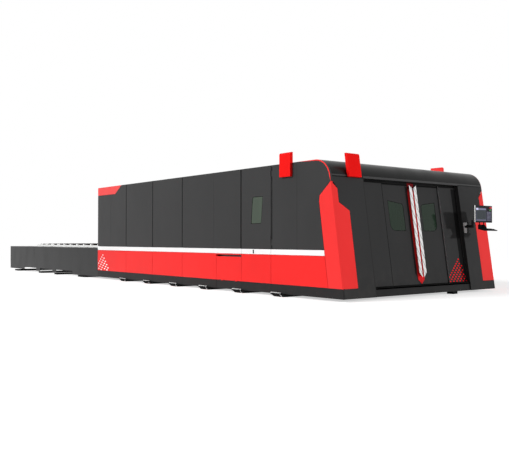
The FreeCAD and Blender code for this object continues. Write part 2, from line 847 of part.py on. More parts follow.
def side_window(grow, y0, thick):
    """Prism of the side door's window, grown by a margin."""
    wire = rounded(side_window_points(), [side_window_radius, 0, side_window_radius, 0])
    if grow:
        wire = wire.makeOffset2D(grow, 2)
    prism = Part.Face(wire).extrude(V(0, thick, 0))
    prism.translate(V(0, y0, 0))
    return prism


def side_door_hinge_halves():
    """Fixed and moving halves of the side door's hinges."""
    fixed, moving = hinge(hinge_height)
    halves = []
    for z in side_door_hinges_z:
        place = V(door_front, -half - hinge_radius, z)
        halves.append((fixed.translated(place), moving.translated(place)))
    return [h[0] for h in halves], [h[1] for h in halves]


def side_door():
    """Side door: upper dark pan with the window and the moving hinge halves."""
    g = seam_gap / 2
    z0 = stripe_high + g / 2
    x0, x1 = door_rear + g, door_front - g
    outline = [(x0, z0), (x1, z0), (x1, cabin_height), (x0, cabin_height)]
    pan = side_pan(outline, [side_window(0, -half - 1, panel_depth)])
    back = box(x0, x1, -skin_back, -skin_back + sheet, base_top + g, z0 + tube)
    return fuse(pan, back, *side_door_hinge_halves()[1])


def side_door_lower_panel():
    """Red lower panel of the side door."""
    g = seam_gap / 2
    return band_panel(door_rear + g, door_front - g)


def side_door_stripe():
    """White stripe across the side door, with the latch's bore."""
    g = seam_gap / 2
    bore = cylinder(door_rear + latch_x, -half - 1, latch_z(), 6.0 + pin_clearance, sheet + 2, V(0, 1, 0))
    return stripe(door_rear + g, door_front - g).cut(bore)


def latch_z():
    """Height of the latch's axis."""
    return (stripe_low + stripe_high) / 2


def side_door_latch():
    """Flat turning latch with its spindle."""
    x = door_rear + latch_x
    z = latch_z()
    blade = box(
        x - latch_width / 2, x + latch_width / 2, -half - run_gap - latch_thick, -half - run_gap,
        z - latch_height / 2, z + latch_height / 2,
    )
    upright = [e for e in blade.Edges if abs(e.tangentAt(e.FirstParameter).y) > 0.9]
    blade = blade.makeFillet(latch_width / 2 - 1, upright)
    spindle = cylinder(x, -half - run_gap - 1, z, 6.0, 20.0, V(0, 1, 0))
    return fuse(blade, spindle)


def flap_hinges():
    """Fixed and moving halves of the flap's hinges, on an axis along the flap's lower edge."""
    fixed, moving = hinge(hinge_height)
    fixed_all, moving_all = [], []
    # the hinge's own axis is turned to lie along X, its moving plate up and its fixed plate down
    for half_hinge in (fixed, moving):
        half_hinge.rotate(V(0, 0, 0), V(0, 1, 0), 90)
    for x in (flap_start + flap_hinge_inset, door_rear - flap_hinge_inset - hinge_height):
        place = V(x, -half - hinge_radius, base_top)
        fixed_all.append(fixed.translated(place))
        moving_all.append(moving.translated(place))
    return fixed_all, moving_all


def service_flap():
    """Red flap that folds down, with its moving hinge halves."""
    g = seam_gap / 2
    pan = band_panel(flap_start + g, door_rear - g, z1=flap_top)
    return fuse(pan, *flap_hinges()[1])


# ---------------------------------------------------------------- bed, gantry and head
def skid(x, width, foot):
    """Bar across the machine, narrower at the floor."""
    y = half + skid_overhang
    outline = [
        (x - foot / 2, 0),
        (x + foot / 2, 0),
        (x + width / 2, rail_z_low),
        (x - width / 2, rail_z_low),
    ]
    return side_prism(outline, -y, y)


def floor_skids():
    """Skids of the cabin and the table, and the foot under the front sill."""
    narrow = skid_width - skid_foot_width
    skids = [skid(x, skid_width, skid_foot_width) for x in skid_xs]
    skids += [skid(rear_end_x + x, width, width - narrow) for x, width in table_skids]
    x = cabin_length - front_foot_setback
    y0, y1 = front_foot_y - front_foot_width / 2, front_foot_y + front_foot_width / 2
    skids.append(box(x, x + front_foot_width, y0, y1, 0, base_gap))
    return skids


def machine_bed():
    """Two hollow beams with the pallet ledges, and the ties between them."""
    y0, y1 = bed_inner_y, bed_inner_y + bed_beam_width
    outer = box(bed_rear_x, bed_front_x, -y1, -y0, rail_z_low, bed_top)
    inner = box(
        bed_rear_x - 1, bed_front_x + 1, -y1 + bed_wall, -y0 - bed_wall,
        rail_z_low + bed_wall, bed_top - bed_wall,
    )
    ledges = [
        box(bed_rear_x, bed_front_x, -y0, -y0 + ledge_width, z - run_gap - ledge_thick, z - run_gap)
        for z in (lower_pallet_z, upper_pallet_z)
    ]
    near = [outer.cut(inner)] + ledges
    pitch = (bed_front_x - bed_rear_x - tie_width) / (tie_count - 1)
    ties = [
        box(bed_rear_x + i * pitch, bed_rear_x + i * pitch + tie_width, -y0, y0, tie_z, tie_z + tie_height)
        for i in range(tie_count)
    ]
    return near + [mirror(s) for s in near] + ties


def guide_rail_outline(y):
    """Section of a guide rail: a waisted bar, as (y, z) points."""
    w = rail_width / 2
    waist = w - 8
    z0, z1 = bed_top, bed_top + rail_height
    return [
        (y - w, z0), (y + w, z0), (y + w, z0 + 10), (y + waist, z0 + 16), (y + waist, z1 - 14),
        (y + w, z1 - 8), (y + w, z1), (y - w, z1), (y - w, z1 - 8), (y - waist, z1 - 14),
        (y - waist, z0 + 16), (y - w, z0 + 10),
    ]


def guide_rails():
    """Rail on each bed beam."""
    rail = end_prism(guide_rail_outline(-rail_y), bed_rear_x, bed_front_x)
    return [rail, mirror(rail)]


def bearing_blocks():
    """Blocks that carry the gantry, hooked round the rails."""
    blocks = []
    points = [V(0, y, z) for y, z in guide_rail_outline(-rail_y)]
    grown = Part.Face(Part.makePolygon(points + [points[0]]).makeOffset2D(run_gap, 2))
    for sign in (-1, 1):
        x0 = gantry_rest_x + sign * block_spacing / 2 - block_length / 2
        y0, y1 = -rail_y - block_width / 2, -rail_y + block_width / 2
        outer = box(x0, x0 + block_length, y0, y1, bearing_low, bearing_top)
        block = outer.cut(grown.translated(V(x0 - 1, 0, 0)).extrude(V(block_length + 2, 0, 0)))
        blocks += [block, mirror(block)]
    return blocks


def gantry_beam():
    """Hollow beam across the bed with end plates, the carriage's rails and the drive motors."""
    x0, x1 = gantry_rest_x - gantry_width / 2, gantry_rest_x + gantry_width / 2
    length = gantry_half_length
    tube_outline = [
        (x0 + 30, gantry_low + 60), (x1, gantry_low + 60), (x1, gantry_high),
        (x0 + 90, gantry_high), (x0 + 30, gantry_high - 90),
    ]
    outer = side_prism(tube_outline, -length, length)
    inner = Part.makePolygon([V(x, -length - 1, z) for x, z in tube_outline + [tube_outline[0]]])
    inner = Part.Face(inner.makeOffset2D(-gantry_wall, 2)).extrude(V(0, 2 * length + 2, 0))
    reach = block_spacing / 2 + block_length / 2
    plates = []
    for side in (-1, 1):
        y = side * rail_y
        y0, y1 = y - block_width / 2, y + block_width / 2
        plates.append(box(gantry_rest_x - reach, gantry_rest_x + reach, y0, y1, gantry_low, gantry_low + 60))
        motor_y = side * (rail_y - 10)
        plates.append(box(x0 - 70, x0 + 30, motor_y - 45, motor_y + 45, gantry_low + 60, gantry_low + 250))
    rails = [
        box(x1, x1 + slide_rail, -length + 60, length - 60, z, z + slide_rail)
        for z in carriage_rail_z()
    ]
    return [outer.cut(inner)] + plates + rails


def carriage_rail_z():
    """Lower edges of the two rails on the gantry's face."""
    return (gantry_low + 60 + slide_rail_inset, gantry_high - slide_rail_inset - slide_rail)


def carriage_x():
    """X of the carriage's back, just off the gantry's face."""
    return gantry_rest_x + gantry_width / 2 + run_gap


def head_carriage():
    """Carriage that runs along the gantry, with the upright guide for the head."""
    x0 = carriage_x()
    w = carriage_width / 2
    plate = box(x0, x0 + carriage_thick, -w, w, gantry_low + 70, gantry_high + 60)
    slots = [
        box(x0 - 1, x0 + slide_rail + run_gap, -w - 1, w + 1, z - run_gap, z + slide_rail + run_gap)
        for z in carriage_rail_z()
    ]
    guide = box(x0 + carriage_thick, x0 + carriage_thick + 25, -40, 40, gantry_low + 70, gantry_high + 60)
    cover = box(x0 - 60, x0 + carriage_thick, -w, w, gantry_high + 60, gantry_high + 90)
    return fuse(plate.cut(slots[0]).cut(slots[1]), guide, cover)


def cutting_head():
    """Slide block, head body and nozzle in one column."""
    x0 = carriage_x() + carriage_thick + run_gap
    w = head_width / 2
    block = box(x0, x0 + head_depth, -w, w, head_low, head_high)
    slot = box(x0 - 1, x0 + 25, -40 - run_gap, 40 + run_gap, head_low - 1, head_high + 1)
    axis = x0 + 25 + (head_depth - 25) / 2
    tip = nozzle_tip_z
    profile = [
        V(axis, 0, tip), V(axis + 4, 0, tip), V(axis + nozzle_radius, 0, tip + 14),
        V(axis + nozzle_radius, 0, tip + 26), V(axis + 38, 0, tip + 44), V(axis + 46, 0, tip + 94),
        V(axis + 46, 0, head_low), V(axis, 0, head_low),
    ]
    nozzle = face_of(profile).revolve(V(axis, 0, 0), V(0, 0, 1), 360)
    return fuse(block.cut(slot), nozzle)


# ---------------------------------------------------------------- pallets and table
def pallet_frame(x0, z0):
    """Welded frame of a pallet: a ring of tubes, cross bars, and two rows of keel pieces between them."""
    y = pallet_half_width
    inner_y = y - pallet_rail
    x1 = x0 + pallet_length
    top = z0 + pallet_height
    tubes = [box(x0, x1, -y, -inner_y, z0, top), box(x0, x1, inner_y, y, z0, top)]
    tubes += [box(x, x + pallet_rail, -inner_y, inner_y, z0, top) for x in (x0, x1 - pallet_rail)]
    half_bar = pallet_bar_width / 2
    bar_xs = [x0 + pallet_length * share for share in (0.25, 0.5, 0.75)]
    bar_top = z0 + pallet_bar_height
    bars = [box(x - half_bar, x + half_bar, -inner_y, inner_y, z0, bar_top) for x in bar_xs]
    starts = [x0 + pallet_rail] + [x + half_bar for x in bar_xs]
    ends = [x - half_bar for x in bar_xs] + [x1 - pallet_rail]
    keels = [
        box(a, b, side - pallet_keel_width / 2, side + pallet_keel_width / 2, z0, bar_top)
        for side in (-y / 3, y / 3)
        for a, b in zip(starts, ends)
    ]
    return tubes + bars + keels


def slat(x, z0):
    """Thin upright plate across the pallet with a row of teeth along its upper edge."""
    y = pallet_half_width - pallet_rail
    top = z0 + pallet_height + slat_rise
    low = z0 + pallet_bar_height
    pitch = 2 * y / teeth
    outline = [(-y, low), (y, low)]
    for i in range(teeth, 0, -1):
        outline += [(-y + i * pitch, top - tooth_depth), (-y + (i - 0.5) * pitch, top)]
    outline.append((-y, top - tooth_depth))
    return end_prism(outline, x - slat_thick / 2, x + slat_thick / 2)


def pallet_slats(x0, z0):
    """The slats of a pallet."""
    first = x0 + pallet_rail
    pitch = (pallet_length - 2 * pallet_rail) / slat_count
    return [slat(first + (i + 0.5) * pitch, z0) for i in range(slat_count)]


def pallet_rest_x():
    """Rear ends of the upper pallet, out on the table, and of the lower one, inside the cabin."""
    out = rear_end_x + table_rear_reach
    return out, out + pallet_travel


def table_frame():
    """Side frames of the table with the pallet ledges, on legs, and the ties between them."""
    y0 = bed_inner_y
    y1 = y0 + table_frame_width
    x0, x1 = rear_end_x + 60, -20.0
    beam = box(x0, x1, -y1, -y0, table_frame_low, table_frame_top)
    pocket = box(x0 + 60, x1 - 60, -y1 - 1, -y1 + 45, table_frame_low + 60, table_frame_top - 60)
    ledges = [
        box(x0, x1, -y0, -y0 + ledge_width, z - run_gap - ledge_thick, z - run_gap)
        for z in (lower_pallet_z, upper_pallet_z)
    ]
    skid_centres = [rear_end_x + x for x, _ in table_skids]
    legs = [box(x - 70, x + 70, -y1, -y0, rail_z_low, table_frame_low) for x in skid_centres]
    near = [beam.cut(pocket)] + ledges + legs
    ties = [box(x - 50, x + 50, -y0, y0, rail_z_low, rail_z_low + 100) for x in skid_centres]
    return near + [mirror(s) for s in near] + ties


def table_cover():
    """Folded cover of the table: the skirt, stepped along its lower edge, and the deck to the side frame."""
    r = rear_end_x
    outline = [
        (r, table_top),
        (r, skirt_low),
        (r + skirt_rear_step, skirt_low),
        (r + skirt_rear_step, skirt_raised),
    ]
    for x in skirt_tab_x:
        outline += [
            (r + x, skirt_raised), (r + x, skirt_tab_low),
            (r + x + skirt_tab_width, skirt_tab_low), (r + x + skirt_tab_width, skirt_raised),
        ]
    outline += [
        (r + skirt_front_step, skirt_raised), (r + skirt_front_step, skirt_front_low),
        (0, skirt_front_low), (0, table_top),
    ]
    skirt = side_prism(outline, -half, -half + sheet)
    skirt = skirt.cut(box(r + skirt_front_step, 0, -half - 1, -half + sheet + 1, 0, rail_z_low))
    groove_x = r + skirt_groove
    line = box(groove_x, groove_x + groove_width, -half - 1, -half + groove_depth, 0, table_top + 1)
    skirt = skirt.cut(line)
    frame_y = -bed_inner_y - table_frame_width
    deck = box(r, 0, -half, frame_y + 40, table_top - sheet, table_top)
    lip = box(r + 60, 0, frame_y, frame_y + 40, table_frame_top, table_top)
    return fuse(skirt, deck, lip)


def table_end_cover():
    """Cover across the table's rear end."""
    y = half - sheet
    plate = box(rear_end_x, rear_end_x + sheet, -y, y, skirt_low, table_top - sheet)
    shelf_y = bed_inner_y + table_frame_width
    low = table_frame_low
    shelf = box(rear_end_x, rear_end_x + 60, -shelf_y, shelf_y, low, low + sheet)
    return fuse(plate, shelf)


# ---------------------------------------------------------------- cabinets, signs and screen
def side_cabinet(x0, length, height):
    """Closed cabinet between the bed and the cabin's frame, on the skids, with a pressed door line."""
    y0 = -tube_in + cabinet_to_frame
    y1 = -(bed_inner_y + bed_beam_width + cabinet_to_bed)
    body = box(x0, x0 + length, y0, y1, rail_z_low, rail_z_low + height)
    middle = x0 + length / 2
    line = box(middle - 3, middle + 3, y0 - 1, y0 + 4, rail_z_low + 80, rail_z_low + height - 30)
    return body.cut(line)


def side_sign():
    """Sign box hooked over the roof edge, its outer top edge rounded."""
    y0 = -half - sign_depth
    y2 = y0 + sign_top_depth
    low, high = cabin_height - sign_hang, cabin_height + sign_rise
    points = [
        V(0, y0, low), V(0, -half, low), V(0, -half, cabin_height), V(0, y2, cabin_height),
        V(0, y2, high), V(0, y0, high),
    ]
    wire = rounded(points, [0, 0, 0, 0, 0, sign_round])
    sign = Part.Face(wire).extrude(V(sign_width, 0, 0))
    sign.translate(V(door_front + sign_ahead, 0, 0))
    return sign


def front_sign():
    """Sign box on the rounded fascia, leaning with the door end and seated on the curve."""
    low = slope(fascia_low) + 3
    high = low + front_sign_height
    y0 = -half + front_sign_inset
    x0 = sign_depth - sign_top_depth
    points = [V(sign_depth, y0, low), V(sign_depth, y0, high), V(x0, y0, high), V(x0, y0, low)]
    wire = rounded(points, [0, sign_round, 0, 0])
    sign = on_front(Part.Face(wire).extrude(V(0, sign_width, 0)))
    round_bar = cylinder(arc_x, y0 - 1, arc_z, fascia_radius, sign_width + 2, V(0, 1, 0))
    behind = on_front(box(-1000, 0, y0 - 1, y0 + sign_width + 1, slope(0), slope(fascia_low) + 6))
    return sign.cut(round_bar).cut(behind)


def bracket_reach():
    """X of the bracket's outer face."""
    return front_x(arm_z) + bracket_proud


def arm_pivot():
    """X and Y of the arm's upright axis at the bracket."""
    return bracket_reach() - arm_width / 2 - 4, bracket_y + bracket_width / 2


def arm_end():
    """X and Y of the upright axis at the screen's end of the arm."""
    x, y = arm_pivot()
    return x + arm_reach, y - arm_inward


def monitor_bracket():
    """Bracket on the jamb: a block with two ears and the pin for the arm."""
    x, y = arm_pivot()
    y0, y1 = bracket_y, bracket_y + bracket_width
    reach = bracket_reach()
    block = box(reach - 400, reach, y0, y1, bracket_low, bracket_high)
    wall = on_front(box(-600, 0, y0 - 1, y1 + 1, slope(bracket_low) - 200, slope(bracket_high) + 200))
    gap_low, gap_high = arm_z - run_gap, arm_z + arm_height + run_gap
    throat = box(x - arm_width / 2 - 8, reach + 1, y0 - 1, y1 + 1, gap_low, gap_high)
    pin = cylinder(x, y, gap_low - 5, pivot_radius, gap_high - gap_low + 10)
    return fuse(block.cut(wall).cut(throat), pin)


def monitor_arm():
    """Flat arm with a bored eye at the bracket and a pin at the screen's end."""
    x, y = arm_pivot()
    x2, y2 = arm_end()
    w = arm_width / 2
    length = math.hypot(arm_reach, arm_inward)
    bar = box(0, length, -w, w, 0, arm_height)
    bar.rotate(V(0, 0, 0), V(0, 0, 1), -math.degrees(math.atan2(arm_inward, arm_reach)))
    bar.translate(V(x, y, arm_z))
    ends = [cylinder(x, y, arm_z, w, arm_height), cylinder(x2, y2, arm_z, w, arm_height)]
    pin = cylinder(x2, y2, arm_z + arm_height - 1, pivot_radius, hub_height + 1)
    bore = cylinder(x, y, arm_z - 1, pivot_radius + pin_clearance, arm_height + 2)
    return fuse(bar, *ends, pin).cut(bore)


def button_places():
    """Y and Z of the stop button and of the start button on the screen's front."""
    right, top = screen_y + screen_width / 2, screen_z + screen_height
    return (right - 62.0, top - 38.0), (right - 78.0, top - 84.0)


def monitor():
    """Screen housing with its sunk display, the button bores, and the hub on the arm's pin."""
    y0, y1 = screen_y - screen_width / 2, screen_y + screen_width / 2
    z0, z1 = screen_z, screen_z + screen_height
    back = screen_x - screen_thick
    housing = box(back, screen_x, y0, y1, z0, z1)
    edges = [e for e in housing.Edges if abs(e.tangentAt(e.FirstParameter).x) > 0.9]
    housing = housing.makeFillet(8.0, edges)
    display = box(screen_x - 2, screen_x + 1, y0 + bezel, y1 - button_column, z0 + bezel, z1 - bezel)
    x2, y2 = arm_end()
    hub_low = arm_z + arm_height + run_gap
    hub_top = hub_low + hub_height
    hub = cylinder(x2, y2, hub_low, pivot_radius + 14, hub_height)
    neck = box(x2, back + 1, y2 - 22, y2 + 22, z0 + 10, hub_top)
    plate = box(back - 14, back + 1, y2 - 45, y2 + 75, z0 + 10, z1 - 60)
    solid = fuse(housing.cut(display), hub, neck, plate)
    bores = [
        cylinder(screen_x - 24, y, z, stem_radius + pin_clearance, 30, V(1, 0, 0)) for y, z in button_places()
    ]
    return cut(solid, cylinder(x2, y2, hub_low - 1, pivot_radius + pin_clearance, hub_height + 2), *bores)


def push_button(place, radius, travel, cap):
    """Round button: a stem in the housing's bore and a cap that stands off by its travel."""
    y, z = place
    x0 = screen_x - 24 + travel + 1
    x1 = screen_x + travel + run_gap
    stem = cylinder(x0, y, z, stem_radius, x1 - x0 + 1, V(1, 0, 0))
    return fuse(cylinder(x1, y, z, radius, cap, V(1, 0, 0)), stem)


def keyboard_tray():
    """Tilted tray with a low lip, and the two posts that it hangs on under the screen."""
    y0 = screen_y + tray_offset - tray_width / 2
    y1 = y0 + tray_width
    plate = box(0, tray_depth, y0, y1, -tray_thick, 0)
    upright = [e for e in plate.Edges if abs(e.tangentAt(e.FirstParameter).z) > 0.9]
    plate = plate.makeFillet(22.0, upright)
    inner = box(30, tray_depth - 10, y0 + 10, y1 - 10, -5, 1)
    plate = plate.cut(inner)
    plate.rotate(V(0, 0, 0), V(0, 1, 0), tray_tilt)
    plate.translate(V(tray_rear_x, 0, screen_z - tray_drop))
    x = screen_x - screen_thick / 2
    low = screen_z - tray_drop - 10
    posts = [cylinder(x, screen_y + y, low, post_radius, screen_z - low) for y in tray_post_offsets]
    return fuse(plate, *posts)


# ---------------------------------------------------------------- writing
def save(name, *solids):
    """Writes one named piece, or a group of like pieces, with the origin under the whole's middle."""
    shape = solids[0] if len(solids) == 1 else Part.makeCompound(list(solids))
    shape = shape.copy()
    shape.translate(V(-middle_x, 0, 0))
    shape.exportStep(os.path.join("parts", name + ".step"))


def build():
    """Makes every piece."""
    upper = upper_panels()
    front = front_panel()
    g = seam_gap / 2
    cabinet_x = door_rear - cabinet_setback - cabinet_length
    pieces = {
        "machine_bed": machine_bed(),
        "floor_skids": floor_skids(),
        "guide_rails": guide_rails(),
        "cabin_frame": cabin_frame(),
        "upper_panels_near": upper,
        "front_panel_near": [front],
        "upper_panels_far": [mirror(p) for p in upper + [front]] + [mirror(far_bay_panel())],
        "lower_panels_near": lower_panels(True),
        "lower_panels_far": [mirror(p) for p in lower_panels(False)],
        "white_stripe_near": [stripe(0, door_rear - g), stripe(door_front + g, 0, True)],
        "white_stripe_far": [mirror(stripe(0, 0, True))],
        "base_skirt_near": [base_skirt()],
        "base_skirt_far": [mirror(base_skirt())],
        "rear_corner_tabs": [rear_tab(), mirror(rear_tab())],
        "roof_panel": [roof_panel()],
        "front_fascia": [front_fascia()],
        "edge_piping": [edge_piping(), mirror(edge_piping())],
        "corner_trim_near": [corner_trim()],
        "corner_trim_far": [mirror(corner_trim())],
        "front_jamb_near": [front_jamb()],
        "front_jamb_far": [mirror(front_jamb())],
        "front_sill": [front_sill()],
        "door_tracks": door_tracks(),
        "door_side_panels": [door_side_panel(), mirror(door_side_panel())],
        "rear_wall": [rear_wall()],
        "roof_signs": [side_sign(), mirror(side_sign()), front_sign()],
        "table_frame": table_frame(),
        "table_side_covers": [table_cover(), mirror(table_cover())],
        "table_end_cover": [table_end_cover()],
        "control_cabinet": [side_cabinet(cabinet_x, cabinet_length, cabinet_height)],
        "laser_source": [mirror(side_cabinet(source_x, source_length, source_height))],
        "monitor_bracket": [monitor_bracket()],
        "hinge_halves": side_door_hinge_halves()[0] + flap_hinges()[0],
        "gantry_beam": gantry_beam(),
        "bearing_blocks": bearing_blocks(),
        "head_carriage": [head_carriage()],
        "cutting_head": [cutting_head()],
        "side_door": [side_door()],
        "side_door_lower_panel": [side_door_lower_panel()],
        "side_door_stripe": [side_door_stripe()],
        "side_door_glass": [side_window(glass_lap, -half + sheet, glass_thick)],
        "side_door_latch": [side_door_latch()],
        "service_flap": [service_flap()],
        "monitor_arm": [monitor_arm()],
        "monitor": [monitor()],
        "keyboard_tray": [keyboard_tray()],
        "stop_button": [push_button(button_places()[0], stop_radius, stop_travel, 14.0)],
        "start_button": [push_button(button_places()[1], start_radius, start_travel, 9.0)],
    }
    upper_x, lower_x = pallet_rest_x()
    pieces["upper_pallet_frame"] = pallet_frame(upper_x, upper_pallet_z)
    pieces["upper_pallet_slats"] = pallet_slats(upper_x, upper_pallet_z)
    pieces["lower_pallet_frame"] = pallet_frame(lower_x, lower_pallet_z)
    pieces["lower_pallet_slats"] = pallet_slats(lower_x, lower_pallet_z)
    door_parts = {
        "leaf": door_leaf, "glass": door_glass, "handle_plate": handle_plate, "handle_bar": handle_bar,
    }
    for part, make in door_parts.items():
        near = make()
        pieces["door_" + part + "_near"] = [near]
        pieces["door_" + part + "_far"] = [mirror(near)]
    return pieces


def far_bay_panel():
    """Dark panel in the bay that holds the door on the near side."""
    g = seam_gap / 2
    x0, x1, z0 = door_rear + g, door_front - g, stripe_high + g
    return side_pan([(x0, z0), (x1, z0), (x1, cabin_height), (x0, cabin_height)])


def main():
    os.makedirs("parts", exist_ok=True)
    for name, solids in build().items():
        save(name, *solids)


if __name__ == "__main__":
    main()
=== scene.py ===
import math

import bpy
import numpy as np
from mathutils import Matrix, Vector


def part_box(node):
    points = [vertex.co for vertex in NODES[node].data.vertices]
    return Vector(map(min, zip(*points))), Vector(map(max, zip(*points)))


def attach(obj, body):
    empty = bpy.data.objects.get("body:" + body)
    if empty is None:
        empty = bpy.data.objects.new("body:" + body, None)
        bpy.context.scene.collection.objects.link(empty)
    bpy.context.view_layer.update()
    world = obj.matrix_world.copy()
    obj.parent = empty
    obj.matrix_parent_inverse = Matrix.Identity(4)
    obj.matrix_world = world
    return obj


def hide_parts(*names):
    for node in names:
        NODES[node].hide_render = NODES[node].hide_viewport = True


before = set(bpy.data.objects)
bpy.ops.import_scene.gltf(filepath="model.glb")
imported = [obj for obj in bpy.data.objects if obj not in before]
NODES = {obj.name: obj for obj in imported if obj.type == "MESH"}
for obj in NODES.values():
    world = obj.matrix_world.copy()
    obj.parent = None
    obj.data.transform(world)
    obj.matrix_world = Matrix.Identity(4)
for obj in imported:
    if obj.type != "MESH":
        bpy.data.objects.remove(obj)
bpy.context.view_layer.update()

bl_info = {
    "name": "Fibre laser cutting machine",
    "version": (1, 0, 0),
    "blender": (4, 5, 0),
    "location": "3D View > Sidebar > Laser cutter",
    "description": "Finishes, fittings and stage of an enclosed laser cutting machine with an exchange table",
    "category": "Add Mesh",
}

# ---- places read from the frame
HALF = -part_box("upper_panels_near")[0].y  # the sides' outer faces stand at this Y, near and far
ROOF_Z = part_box("roof_panel")[1].z
REAR_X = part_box("upper_panels_near")[0].x  # rear end of the cabin
FOOT_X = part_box("front_jamb_near")[1].x  # foot of the leaning door end
FOOT_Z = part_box("front_jamb_near")[0].z
LEAN = math.radians(8.5)  # of the door end, back from upright
LEAF_FRONT = -0.100  # the door leaves' face, behind the door end's plane
FIXED_FRONT = -0.072  # the same for the fixed panels beside them
DOOR_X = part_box("side_door")[0].x - 0.004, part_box("side_door")[1].x + 0.004
RED_LOW, STRIPE_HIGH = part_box("lower_panels_near")[0].z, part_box("white_stripe_near")[1].z
SILL_TOP = 0.205
FASCIA_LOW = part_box("front_jamb_near")[1].z + 0.004
LEAF_TOP = FASCIA_LOW - 0.017
LEAF_INNER, LEAF_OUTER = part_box("door_leaf_far")[0].y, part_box("door_leaf_far")[1].y
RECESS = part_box("front_jamb_far")[0].y  # half the width between the jambs
FOLD_X = REAR_X + 7.961  # fold of the side panels ahead of the side door
SKIRT_SEAM_X = REAR_X + 5.494  # seam between the base skirt's two lengths
ROOF_SHEET = (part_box("roof_panel")[1].x - REAR_X) / 6
SKID_PITCH = 1.190
SKID_X = REAR_X + 1.600  # middle of the cabin's first skid
SCREEN_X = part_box("monitor")[1].x
SCREEN_LOW, SCREEN_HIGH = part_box("keyboard_tray")[1].z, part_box("monitor")[1].z


# ---- shapes as arrays
def inset(outline, depth):
    """Moves a closed anticlockwise outline inwards: each corner goes along the sum of its two edges' unit
    normals, divided by one plus their dot product, times the depth."""
    edge = np.roll(outline, -1, axis=0) - outline
    normal = np.stack([-edge[:, 1], edge[:, 0]], -1) / np.linalg.norm(edge, axis=1, keepdims=True)
    before = np.roll(normal, 1, axis=0)
    mitre = (before + normal) / (1 + (before * normal).sum(1, keepdims=True))
    return outline + depth * mitre


def round_corners(corners, radii, steps=6):
    """Anticlockwise corners with arcs: each arc's centre is the corner moved inwards by the radius, and its
    points turn evenly from the first edge's outward normal to the second's."""
    corners = np.asarray(corners, float)
    arcs = []
    for i, radius in enumerate(radii):
        corner = corners[i]
        first = corner - corners[i - 1]
        second = corners[(i + 1) % len(corners)] - corner
        start = math.atan2(first[1], first[0]) - math.pi / 2
        turn = (math.atan2(second[1], second[0]) - math.pi / 2 - start) % (2 * math.pi)
        if radius == 0 or turn > math.pi:
            arcs.append(corner[None])
            continue
        reach = radius / math.cos(turn / 2)
        middle = start + turn / 2
        centre = corner - reach * np.array([math.cos(middle), math.sin(middle)])
        angle = start + turn * np.linspace(0, 1, steps + 1)
        arcs.append(centre + radius * np.stack([np.cos(angle), np.sin(angle)], -1))
    return np.concatenate(arcs)


def stack(rings):
    """Closed rings of points one over the other, joined by quads and closed with a flat face at each end."""
    count, corners = rings.shape[:2]
    index = np.arange(count * corners).reshape(count, corners)
    ahead = np.roll(index, -1, axis=1)
    quads = np.stack([index[:-1], ahead[:-1], ahead[1:], index[1:]], -1).reshape(-1, 4)
    return rings.reshape(-1, 3), [quads, index[:1, ::-1], index[-1:]]


def hoop(grid):
    """Grid of points that closes on itself in both directions, as a profile carried round a closed path."""
    count, corners = grid.shape[:2]
    index = np.arange(count * corners).reshape(count, corners)
    ahead, after = np.roll(index, -1, axis=1), np.roll(index, -1, axis=0)
    both = np.roll(after, -1, axis=1)
    return grid.reshape(-1, 3), [np.stack([index, ahead, both, after], -1).reshape(-1, 4)]


def levelled(outline, levels):
    """The outline once for each level: moved inwards by its first number, at the height that is its second."""
    return np.stack([np.column_stack([inset(outline, d), np.full(len(outline), h)]) for d, h in levels])


def slab(outline, levels):
    """Flat piece: the outline at each level, closed at both ends."""
    return stack(levelled(outline, levels))


def ring_trim(outline, profile):
    """Closed profile of (distance inwards, height) carried round a closed outline."""
    return hoop(levelled(outline, profile))


def turned(profile, sides):
    """Each (radius, height) of the profile goes to a ring of points (radius cos t, radius sin t, height)."""
    angle = np.arange(sides) * (2 * math.pi / sides)
    radius, height = np.asarray(profile, float).T[:, :, None]
    return np.stack([radius * np.cos(angle), radius * np.sin(angle), height + 0 * angle], -1)


def lathe(profile, sides):
    """Turned piece, closed at both ends."""
    return stack(turned(profile, sides))


def lathe_ring(profile, sides=40):
    """Turned ring: a closed profile carried round the axis."""
    return hoop(turned(profile, sides)[::-1])


def row(x, y=0.0, z=0.0):
    """Places whose coordinates are lists of one length, or one number for all."""
    return np.column_stack(np.broadcast_arrays(np.array(x, float), y, z))


def lattice(x, y, z=0.0):
    """Places at every x for each y in turn."""
    across, up = np.meshgrid(x, y)
    return row(across.ravel(), up.ravel(), z)


def repeated(shape, places):
    """The shape moved to each place in turn, as one set of points and faces."""
    points, faces = shape
    start = (np.arange(len(places)) * len(points))[:, None, None]
    moved = (places[:, None] + points).reshape(-1, 3)
    return moved, [(start + f).reshape(-1, f.shape[1]) for f in faces]


def rectangle(x0, x1, y0, y1, radius=0.0, steps=4):
    """Anticlockwise rectangle, with round corners where a radius is given."""
    corners = [(x0, y0), (x1, y0), (x1, y1), (x0, y1)]
    return round_corners(corners, [radius] * 4, steps)


def mirrored(shape):
    """The shape on the other side of the middle plane, its faces turned to stay outward."""
    return shape[0] * (1, -1, 1), [f[:, ::-1] for f in shape[1]]


def joined(*shapes):
    """Several shapes as one set of points and faces."""
    starts = np.cumsum([0] + [len(points) for points, _ in shapes[:-1]])
    faces = [f + start for start, (_, group) in zip(starts, shapes) for f in group]
    return np.concatenate([points for points, _ in shapes]), faces


def placed(shape, origin, across, up):
    """The shape with its first axis along `across`, its second along `up` and its third along their cross
    product, from an origin."""
    across, up = np.array(across, float), np.array(up, float)
    axes = np.stack([across, up, np.cross(across, up)])
    return np.array(origin, float) + shape[0] @ axes, shape[1]


